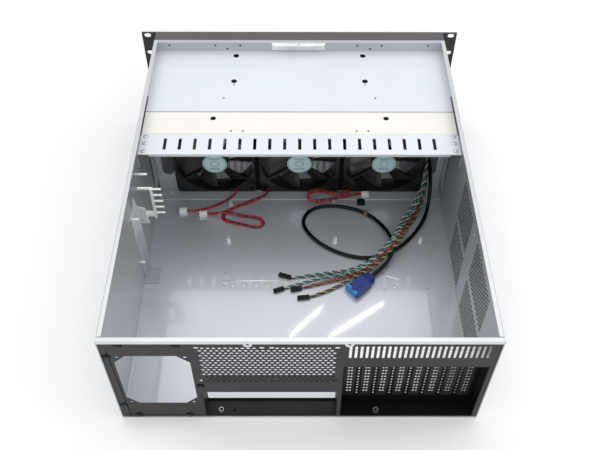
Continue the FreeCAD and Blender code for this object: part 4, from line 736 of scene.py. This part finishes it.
def make_painted_shade_backs():
    """Painted shade: dark backs in round holes of the top plates and the bulkhead, dark rims round some of
    the plates' holes, and a dark strip of painted shadow on the joint between the plates.
    """
    bm = bmesh.new()
    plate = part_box("drive_bay_cover")[1].z
    for x, away, radius in PLATE_HOLES:
        top = BACK_DROP - (SMALL_DEPTH if radius < 2 else LARGE_DEPTH)
        wide, narrow = radius + BACK_RIM, radius - BACK_PLAY
        profile = in_mm([(wide, 0), (wide, BACK_FOOT), (narrow, BACK_FOOT), (narrow, top), (0, top)])
        for sign in (-1, 1):
            add_turned(bm, spot(sign * x, away, plate - BACK_DROP * MM), UP, profile, 20)
    for x, away, radius in SHADE_RIMS:
        for sign in (-1, 1):
            add_disc(bm, spot(sign * x, away, plate - SINK), UP, radius * MM, SINK + FILM, 24)
    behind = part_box("front_bulkhead")[0].y
    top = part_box("chassis_tub")[1].z
    for x, drop in BULKHEAD_HOLES:
        place = (x * MM, behind + 0.3 * MM, top - drop * MM)
        add_disc(bm, place, (0, 1, 0), BULKHEAD_HOLE * MM, 0.6 * MM, 16)
    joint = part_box("drive_bay_cover")[1].y
    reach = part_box("fan_wall")[1].x
    add_block(bm, (-reach, joint - SINK, plate - 2 * SHEET), (reach, joint + JOINT_SHADE_WIDTH, plate - SINK))
    add_block(bm, (-reach, joint - 0.3 * MM, plate), (reach, joint + JOINT_SHADE_WIDTH, plate + FILM))
    finish_piece(link_mesh("painted_shade_backs", bm, SHADOW_BLACK), "galvanised_steel")


# -------- screws, marks and small pieces
WASHER_SHARE = 1.25
PLUG_MOUTH = 8.4 * MM  # the end face behind this length of the plug is picked out
# along the plug, across it and up, each from and to
PLUG_FACE = ((-3.4, 0.6), (-10.6, 10.6), (1.25, 12.38))
# Dark blocks of painted shade for the pin holes.
PLUG_PINS = [((0.4, 0.65), (1.9 * i - 9.0, 1.9 * i - 8.2), (z, z + 1.2))
             for i in range(10) for z in (4.4, 8.0)]
LABEL_RINGS = ((0.93, 0.89), (0.34, 0.30))  # shares of the label's radius
LABEL_BARS = (-0.62, -0.5, 0.5, 0.62)


def cross_recess(bm, centre, axis, reach, index):
    """Two thin dark bars set crosswise on a screw head: painted shade of its cross recess."""
    u = Vector((1, 0, 0))
    v = axis.cross(u)
    for first, second in ((u, v), (v, u)):
        close_block(bm, [centre + first * a * reach + second * b * reach * 0.26 + axis * c * MM
                         for a in (-1, 1) for b in (-1, 1) for c in (-0.2, 0.02)], index)


def make_screws(node, axis, made, slot_name, washer, grown=1.0):
    """Domed cross-head screws with washers in the places of a node's screws."""
    bm = bmesh.new()
    axis = Vector(axis)
    for low, high in islands(node):
        span = high - low
        height = abs(span.dot(axis))
        radius = grown * max(span[i] for i in range(3) if abs(axis[i]) < 0.5) / 2
        centre = (low + high) / 2 - axis * height / 2
        crown = height - FILM
        profile = [(radius, 0), (radius, height * 0.3), (radius * 0.9, height * 0.66),
                   (radius * 0.68, height * 0.9), (radius * 0.4, crown), (0, crown)]
        add_turned(bm, centre, axis, profile, 20)
        add_disc(bm, centre - axis * SINK, axis, radius * WASHER_SHARE, SINK + 2 * FILM, 24, 2)
        cross_recess(bm, centre + axis * (height - 0.02 * MM), axis, radius * 0.5, 1)
    finish_piece(link_mesh(node + "_heads", bm, [made, BLACK_SCREW, washer]), slot_name, node)


def make_plug():
    """The wide plug: the node's form with a lighter face at its end and two rows of pin holes in it, drawn as
    dark blocks of painted shade.
    """
    bm = joined("usb_plug")
    towards = (Vector(USB_ROUTE[-1]) - Vector(USB_ROUTE[-2])).normalized()
    reach = max(vertex.co.dot(towards) for vertex in bm.verts)
    for face in bm.faces:
        near_end = face.calc_center_median().dot(towards) > reach - PLUG_MOUTH
        face.material_index = 1 if near_end and abs(face.normal.dot(towards)) > 0.7 else 0
    side = Vector((-towards.y, towards.x, 0))
    centre = sum((vertex.co for vertex in bm.verts), Vector()) / len(bm.verts)
    middle = towards * (reach - 0.5 * MM) + side * centre.dot(side)
    for (along, across, height), index in [(PLUG_FACE, 1)] + [(pin, 2) for pin in PLUG_PINS]:
        close_block(bm, [middle + towards * a * MM + side * b * MM + Vector((0, 0, c * MM))
                         for a in along for b in across for c in height], index)
    piece = link_mesh("usb_plug_body", bm, [BLUE, LIGHT_BLUE, SHADOW_BLACK])
    bevel = piece.modifiers.new("bevel", "BEVEL")
    bevel.width = 0.4 * MM
    bevel.segments = 2
    finish_piece(piece, "blue_plastic", "usb_plug")


def make_label_rings():
    """Two printed rings and four bars on each fan label."""
    bm = bmesh.new()
    for low, high in islands("fan_labels"):
        centre = (low + high) / 2
        radius = (high.x - low.x) / 2
        for shares in LABEL_RINGS:
            add_mark(bm, [ring_loop(centre.x, centre.z, radius * share, 40) for share in shares], "y", high.y)
        half = radius * 0.42
        for share in LABEL_BARS:
            z = centre.z + share * radius
            add_block(bm, (centre.x - half, high.y - SINK, z - 0.4 * MM),
                      (centre.x + half, high.y + FILM, z + 0.4 * MM))
    finish_piece(link_mesh("label_rings", bm, LABEL_INK), "label_film")


# across or height, and distance from the front
WELDS = ((69, 187.7), (-69, 187.7), (206, 187.7), (-206, 187.7),
         (67.5, 204), (-67.5, 204), (205, 203), (-205, 203))
WALL_RIVETS = ((7, 151), (10.7, 248), (140, 372), (40, 372))
FOOT_RIVET = (198.7, 172.6)
FLOOR_DIMPLES = ((94, 350.8), (77.7, 350.4), (60.8, 350.3), (43.9, 350.8), (-134.4, 353))
FLOOR_BEADS = (((18, 341.6), (63, 341.6), (108, 341.6)),
               ((-119, 328), (-126, 334), (-135, 338), (-151, 340.5)))
REAR_RIVETS = ((80.7, 541.5), (-48, 543.8), (-180.1, 543.8), (-216.0, 533.4))
STUDS = ((154.3, 280.7, 18), (122.4, 277, 18), (131, 338.7, 12), (47.6, 344, 8))  # the last is the reach
RIVET = (2.0, 1.6, 0.5, 0.7)
DIMPLE = (2.6, 1.7, 0.6, 0.9)
REAR_RIVET = (1.9, 1.5, 0.6, 0.8)


def make_marks():
    """Weld rings on the fan wall's flange, rivets in the tub, dimples and beads pressed in its floor, the
    last in a brighter steel than the floor: painted glints.
    """
    bm = bmesh.new()
    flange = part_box("fan_wall")[1].z
    for x, away in WELDS:
        rings = [ring_loop(*spot(x, away, 0).xy, radius * MM, 24) for radius in (1.9, 1.5)]
        add_mark(bm, rings, "z", flange)
    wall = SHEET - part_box("chassis_tub")[1].x
    for z, away in WALL_RIVETS:
        add_rivet(bm, (wall, FRONT + away * MM, z * MM), (1, 0, 0), RIVET)
    add_rivet(bm, spot(*FOOT_RIVET, 2 * SHEET), UP, RIVET)
    # Painted glints: the floor's dimples and beads take the brighter screw steel.
    for x, away in FLOOR_DIMPLES:
        add_rivet(bm, spot(x, away, SHEET), UP, DIMPLE, 2)
    for bead, radius in zip(FLOOR_BEADS, (1.1 * MM, 1.0 * MM)):
        add_tube(bm, [spot(x, away, SHEET) for x, away in bead], radius, 8, 2)
    for x, away in REAR_RIVETS:
        add_rivet(bm, spot(x, away, 2 * SHEET), UP, REAR_RIVET, 1)
    finish_piece(link_mesh("small_marks", bm, [PLATE, BLACK_SCREW, BRIGHT], True), "galvanised_steel")


def make_wall_studs():
    """White plastic studs on the +X wall, round the cable comb."""
    bm = bmesh.new()
    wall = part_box("chassis_tub")[1].x - SHEET
    for z, away, reach in STUDS:
        profile = in_mm([(1.6, 0), (1.6, reach - 0.4), (1.2, reach), (0, reach)])
        add_turned(bm, (wall + SINK, FRONT + away * MM, z * MM), (-1, 0, 0), profile, 14)
    finish_piece(link_mesh("wall_studs", bm, NYLON, True), "white_plastic")


def make_painted_shade_trims():
    """Painted shade: dark rims on the ring nuts and dark strips in the gaps between the fan frames."""
    bm = bmesh.new()
    for low, high in islands("ring_nuts"):
        middle, radius = (low + high) / 2, (high.x - low.x) / 2
        rings = [ring_loop(middle.x, middle.y, radius * share, 32) for share in (1.0, 0.78)]
        add_mark(bm, rings, "z", high.z)
    frames = [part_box(name) for name in reversed(FAN_FRAMES)]
    for first, second in zip(frames, frames[1:]):
        add_block(bm, (first[1].x - 0.5 * MM, first[0].y + 1.0 * MM, first[0].z + 0.5 * MM),
                  (second[0].x + 0.5 * MM, first[1].y - 2.5 * MM, first[1].z - 1.0 * MM))
    finish_piece(link_mesh("painted_shade_trims", bm, SHADOW_BLACK), "black_plastic")


def make_tie():
    """The twist tie round the cable's loop: a short sleeve with two twisted ends."""
    line = smooth_line(USB_ROUTE)
    middle = min(range(len(line)), key=lambda i: (line[i] - Vector(TIE_PLACE)).length)
    bm = bmesh.new()
    add_tube(bm, evenly(line[middle - 1:middle + 2], 0.001)[:7], USB_DIAMETER / 2 + TIE_WIRE, 16)
    start = line[middle] + Vector((0, 0, USB_DIAMETER / 2))
    for turn in (-1, 1):
        twist = [(turn * 0.0006 * i, -0.0014 * i, 0.0016 * math.sin(0.9 * i)) for i in range(5)]
        add_tube(bm, [start + Vector(place) for place in twist], TIE_WIRE, 6)
    finish_piece(link_mesh("cable_tie", bm, TIE, True), "cable_jacket")


# -------- cords
BOARD_BACK = -261.4
FAN_REAR = -104
USB_ROUTE = route_in_mm(
    (-203, BOARD_BACK, 66), (-203, -236, 63), (-201, -206, 54), (-200, -176, 49), (-199, -146, 48.5),
    (-199, -116, 47), (-199, -92, 36), (-197, -72, 16), (-190, -48, 5), (-169, -14, 4.5), (-140, 16, 4.5),
    (-99, 31, 4.5), (-56, 20, 4.5), (-20, -6, 4.5), (-1, -42, 4.5), (-22, -71, 4.5), (-64, -73, 4.5),
    (-104, -58, 4.5), (-128, -28, 6), (-136, 6, 16.5), (-133, 31, 16.5), (-120, 48, 9), (-102, 63, 7))
TIE_PLACE = USB_ROUTE[17]
TIE_WIRE = 0.5 * MM
LEAD_ROUTES = {
    "panel_lead_1": route_in_mm(
        (-197, BOARD_BACK, 136), (-197, -243, 134), (-196.5, -218, 118), (-195.5, -190, 95),
        (-194.5, -163, 76), (-194, -136, 64), (-193.5, -110, 57.5), (-189, -87, 48), (-178, -67, 33),
        (-166, -51, 18), (-152, -33, 14), (-144, -13, 19), (-138.5, 3.5, 25), (-127.5, 17.5, 26),
        (-114, 31.5, 22), (-97.5, 43, 12), (-75, 49.5, 4.5), (-50, 53.5, 3.5), (-20, 58.5, 3.5),
        (12, 63, 3.8)),
    "panel_lead_2": route_in_mm(
        (-197, BOARD_BACK, 122), (-197, -242, 119), (-196, -216, 103), (-195, -188, 82), (-194.5, -160, 66),
        (-194, -134, 57.5), (-193.5, -110, 53.5), (-190, -87, 43), (-180, -66, 27), (-168.5, -49.5, 12),
        (-154, -31, 8.5), (-146.5, -10, 18), (-141, 5.5, 25), (-130, 20, 26), (-116, 34, 22),
        (-99.5, 46, 12), (-77, 54, 4.5), (-53, 58.5, 3.5), (-28, 64, 3.5), (-2, 73, 3.5), (22, 81.5, 3.8)),
    "panel_lead_3": route_in_mm(
        (-197, BOARD_BACK, 108), (-197, -241, 104), (-196, -214, 88), (-195, -186, 69),
        (-194.5, -158, 56.5), (-194, -132, 51), (-193.5, -110, 49.5), (-190.5, -87, 38), (-182, -66, 20),
        (-171, -47.5, 7), (-157, -29, 6), (-149, -8, 18), (-143.5, 8, 25), (-132.5, 22.5, 26),
        (-118.5, 36.5, 22), (-101.5, 48.5, 12), (-79.5, 57.5, 4.5), (-55, 66, 3.5), (-29, 73, 3.5),
        (-3, 81, 3.8)),
    "panel_lead_4": route_in_mm(
        (-197, BOARD_BACK, 94), (-197, -240, 90), (-196, -212, 75), (-195, -184, 58.5), (-194.5, -156, 49),
        (-194, -131, 45.5), (-193.5, -110, 45.5), (-191, -87, 33), (-184, -66, 14), (-174, -46.5, 4),
        (-160, -27, 4), (-151.5, -6, 17), (-146, 10, 25), (-135, 25, 26), (-121, 39, 22), (-104, 51, 12),
        (-81.5, 61, 4.5), (-57, 76, 3.5), (-36, 88, 3.5), (-14, 96, 3.8)),
}
FAN_LEAD_ROUTES = {
    "fan_lead_left": route_in_mm(
        (96, FAN_REAR, 10), (97, -96.5, 8), (105, -90, 5.2), (118, -80, 3.6), (134, -71, 3.2),
        (150, -65, 3.2), (162, -63.5, 3.4), (171, -63.5, 4)),
    "fan_lead_middle": route_in_mm(
        (48, FAN_REAR, 10), (49.5, -96.5, 8), (57, -91, 5.2), (69, -85, 3.8), (84, -77.5, 3.2),
        (100, -70, 3.2), (114, -61, 3.2), (117, -49, 3.2), (106, -41, 3.2), (88, -37, 3.2),
        (70, -31.5, 3.2), (56.5, -31, 3.2), (53, -42, 3.2), (64, -50.5, 3.2), (82, -52, 3.6),
        (98, -53, 9.4), (118, -54.5, 9.8), (130, -56, 5), (140, -57, 4)),
    "fan_lead_right": route_in_mm(
        (-79, FAN_REAR, 15), (-78, -96, 14.4), (-69, -91.5, 12.8), (-56, -92.5, 11.6), (-43, -96, 11),
        (-30, -98.5, 10.6), (-19, -97.5, 10.4), (-12.5, -90.5, 10.2), (-14.5, -81.5, 9.8),
        (-23.5, -77.5, 9.4), (-35, -79, 8.8), (-48, -83, 8.4), (-62, -87.5, 8), (-75, -91.5, 7.6),
        (-87, -94.8, 7), (-96, -96, 6.4)),
}
USB_DIAMETER = 5.5 * MM
# The black strands of panel leads 1, 3 and 4 are painted shade for the dark gaps between the wires.
LEAD_COLORS = {"panel_lead_1": ("white", "teal", "black"), "panel_lead_2": ("teal", "white", "teal"),
               "panel_lead_3": ("red", "orange", "black"), "panel_lead_4": ("yellow", "green", "black")}
FAN_LEAD_COLORS = ("red", "black", "red", "red")
LEAD_LAY = (0.72 * MM, (1.0 * MM, 2.6 * MM), 12.5 * MM)  # wire radius, spread, length of a twist
FAN_LEAD_LAY = (0.7 * MM, (1.0 * MM, 3.0 * MM), 90.0 * MM)
STRAND_STEP = 1.1 * MM
GRIP = 20.0 * MM  # the wires come together over this length at both ends


def route_curve(name, route, bevel=0.0):
    """The route as one open NURBS spline."""
    data = bpy.data.curves.new(name, "CURVE")
    data.dimensions = "3D"
    spline = data.splines.new("NURBS")
    spline.points.add(len(route) - 1)
    for point, place in zip(spline.points, route):
        point.co = (*place, 1.0)
    spline.order_u = 3
    spline.use_endpoint_u = True
    spline.resolution_u = 10
    data.bevel_depth = bevel
    data.bevel_resolution = 6
    data.use_fill_caps = True
    return new_object(name, data)


def smooth_line(route):
    """Points along the route's spline, read from the curve without a bevel."""
    curve = route_curve("route", route)
    bpy.context.view_layer.update()
    mesh = bpy.data.meshes.new_from_object(curve)
    points = [vertex.co.copy() for vertex in mesh.vertices]
    bpy.data.curves.remove(curve.data)  # and its object with it
    bpy.data.meshes.remove(mesh)
    return points


def line_length(points):
    return sum((b - a).length for a, b in zip(points, points[1:]))


def evenly(points, step):
    """The same line with its points about one step apart."""
    total = line_length(points)
    count = max(2, round(total / step))
    wanted = [total * i / count for i in range(count + 1)]
    result, travelled, at = [], 0.0, 0
    for distance in wanted:
        while at < len(points) - 2 and travelled + (points[at + 1] - points[at]).length < distance:
            travelled += (points[at + 1] - points[at]).length
            at += 1
        run = points[at + 1] - points[at]
        share = min(1.0, (distance - travelled) / max(run.length, 1e-9))
        result.append(points[at] + run * share)
    return result


def frames_along(points):
    """A steady pair of side directions at each point of a line."""
    side = Vector(UP)
    result = []
    for i in range(len(points)):
        ahead = points[min(i + 1, len(points) - 1)] - points[max(i - 1, 0)]
        ahead.normalize()
        side = side - ahead * side.dot(ahead)
        if side.length < 1e-4:
            side = ahead.orthogonal()
        side.normalize()
        result.append((side.copy(), ahead.cross(side)))
    return result


def add_tube(bm, points, radius, sides, index=0):
    """A closed round tube along a line."""
    rings = [ring_of_points(bm, point, u, v, radius, sides)
             for point, (u, v) in zip(points, frames_along(points))]
    join_rings(bm, rings, sides, index)
    add_face(bm, rings[-1], index)


def strands(name, route, colors, wire, spread, twist, seed):
    """Insulated wires laid loosely round each other along the route, close together at both ends."""
    line = evenly(smooth_line(route), STRAND_STEP)
    sides = frames_along(line)
    length = line_length(line)
    bm = bmesh.new()
    chance = random.Random(seed)
    phase = chance.uniform(0, 6.0)
    waves = [(chance.uniform(0.6, 1.4) * 2 * math.pi / (9 * twist), chance.uniform(0, 6.0)) for _ in range(3)]
    for index in range(len(colors)):
        strand = []
        travelled = 0.0
        for i, point in enumerate(line):
            if i:
                travelled += (point - line[i - 1]).length
            sway = sum(math.sin(rate * travelled + start) for rate, start in waves) / 3
            angle = phase + 2 * math.pi * (travelled / twist + index / len(colors)) + 2.6 * sway
            close = min(1.0, 0.35 + min(travelled, length - travelled) / GRIP)
            reach = (spread[0] + (spread[1] - spread[0]) * (0.5 + 0.5 * sway)) * close
            u, v = sides[i]
            place = point + reach * (math.cos(angle) * u + math.sin(angle) * v)
            place.z = max(place.z, SHEET + wire + SINK)
            strand.append(place)
        add_tube(bm, strand, wire, 7, index)
    return link_mesh(name + "_wires", bm, [WIRES[color] for color in colors], True), line


def make_cords():
    usb = route_curve("usb_cable_run", USB_ROUTE, USB_DIAMETER / 2)
    usb.data.materials.append(JACKET)
    finish_piece(usb, "cable_jacket", "usb_cable")
    line_length(smooth_line(USB_ROUTE))
    for seed, (name, route) in enumerate(LEAD_ROUTES.items()):
        piece, line = strands(name, route, LEAD_COLORS[name], *LEAD_LAY, seed)
        finish_piece(piece, "lead_wire", name)
    for seed, (name, route) in enumerate(FAN_LEAD_ROUTES.items(), 10):
        piece, line = strands(name, route, FAN_LEAD_COLORS, *FAN_LEAD_LAY, seed)
        finish_piece(piece, "fan_wire", name)


# -------- stage and light
SKY_COLOR, SKY_STRENGTH = (0.985, 0.99, 1.0, 1.0), 0.66
PAPER_HALF, PAPER_TOP = 6.0, -0.5 * MM
TOP_LAYERS = (0.66, 0.82, 0.98, 1.14, 1.30)  # five lamps, each inside the next, so their edges fade out
TOP_SIZE, TOP_POWER, TOP_HEIGHT, TOP_STEP = (3.6, 3.2), 6.0, 2.2, 0.01
AIM = (0, 0, 0.1)
STRIP_WIDTH, STRIP_HEIGHT = 0.006, 2.0


def add_area(name, place, target, size, power):
    data = bpy.data.lights.new(name, "AREA")
    data.shape = "RECTANGLE"
    data.size, data.size_y = size
    data.energy = power
    light = new_object(name, data)
    light.location = place
    light.rotation_euler = (Vector(target) - Vector(place)).to_track_quat("-Z", "Y").to_euler()
    return light


def add_strip(name, start, end, power):
    """A slim ceiling lamp from start to end, shining down: it makes a line of light on the case's floor."""
    start, end = Vector((*start, STRIP_HEIGHT)), Vector((*end, STRIP_HEIGHT))
    middle, run = (start + end) / 2, end - start
    light = add_area(name, middle, middle - Vector(UP), (run.length, STRIP_WIDTH), power)
    light.rotation_euler = (0, 0, math.atan2(run.y, run.x))


def add_stage():
    bm = bmesh.new()
    half = PAPER_HALF
    bm.faces.new([bm.verts.new((x, y, PAPER_TOP)) for x, y in rectangle(-half, half, -half, half)])
    floor = link_mesh("floor", bm, shaded("floor_paper", (0.97, 0.97, 0.97), 0.8))
    world = bpy.data.worlds.new("studio")
    world.use_nodes = True
    background = world.node_tree.nodes["Background"]
    node_input(background, "Color", SKY_COLOR)
    node_input(background, "Strength", SKY_STRENGTH)
    bpy.context.scene.world = world
    bpy.context.scene.view_settings.view_transform = "Standard"
    for layer, share in enumerate(TOP_LAYERS):
        place = (0.0, -0.1, TOP_HEIGHT + TOP_STEP * layer)
        add_area("top_light_%d" % layer, place, (0, 0, 0), [side * share for side in TOP_SIZE], TOP_POWER)
    add_area("rear_light", (0.0, 2.2, 1.6), AIM, (2.4, 1.4), 8.0)
    add_area("side_light", (-1.9, 0.3, 1.5), AIM, (1.4, 1.4), 5.0)
    add_strip("left_strip", (0.033, -1.094), (-0.111, -1.247), 0.11)
    add_strip("right_strip", (-0.143, -1.094), (-0.388, -1.269), 0.20)


add_camera()
add_stage()
dress_nodes()
make_tub()
make_rear_panel()
make_slot_pocket()
make_slot_covers()
make_painted_shade_backs()
make_screws("rear_screws", (0, 1, 0), BLACK_SCREW, "black_screw", SHADOW_BLACK, 1.2)
make_screws("crossbar_screws", UP, BRIGHT, "screw_steel", NUT, 1.1)
make_screws("slot_screws", UP, SCREW, "screw_steel", NUT)
make_plug()
make_label_rings()
make_marks()
make_wall_studs()
make_painted_shade_trims()
make_cords()
make_tie()
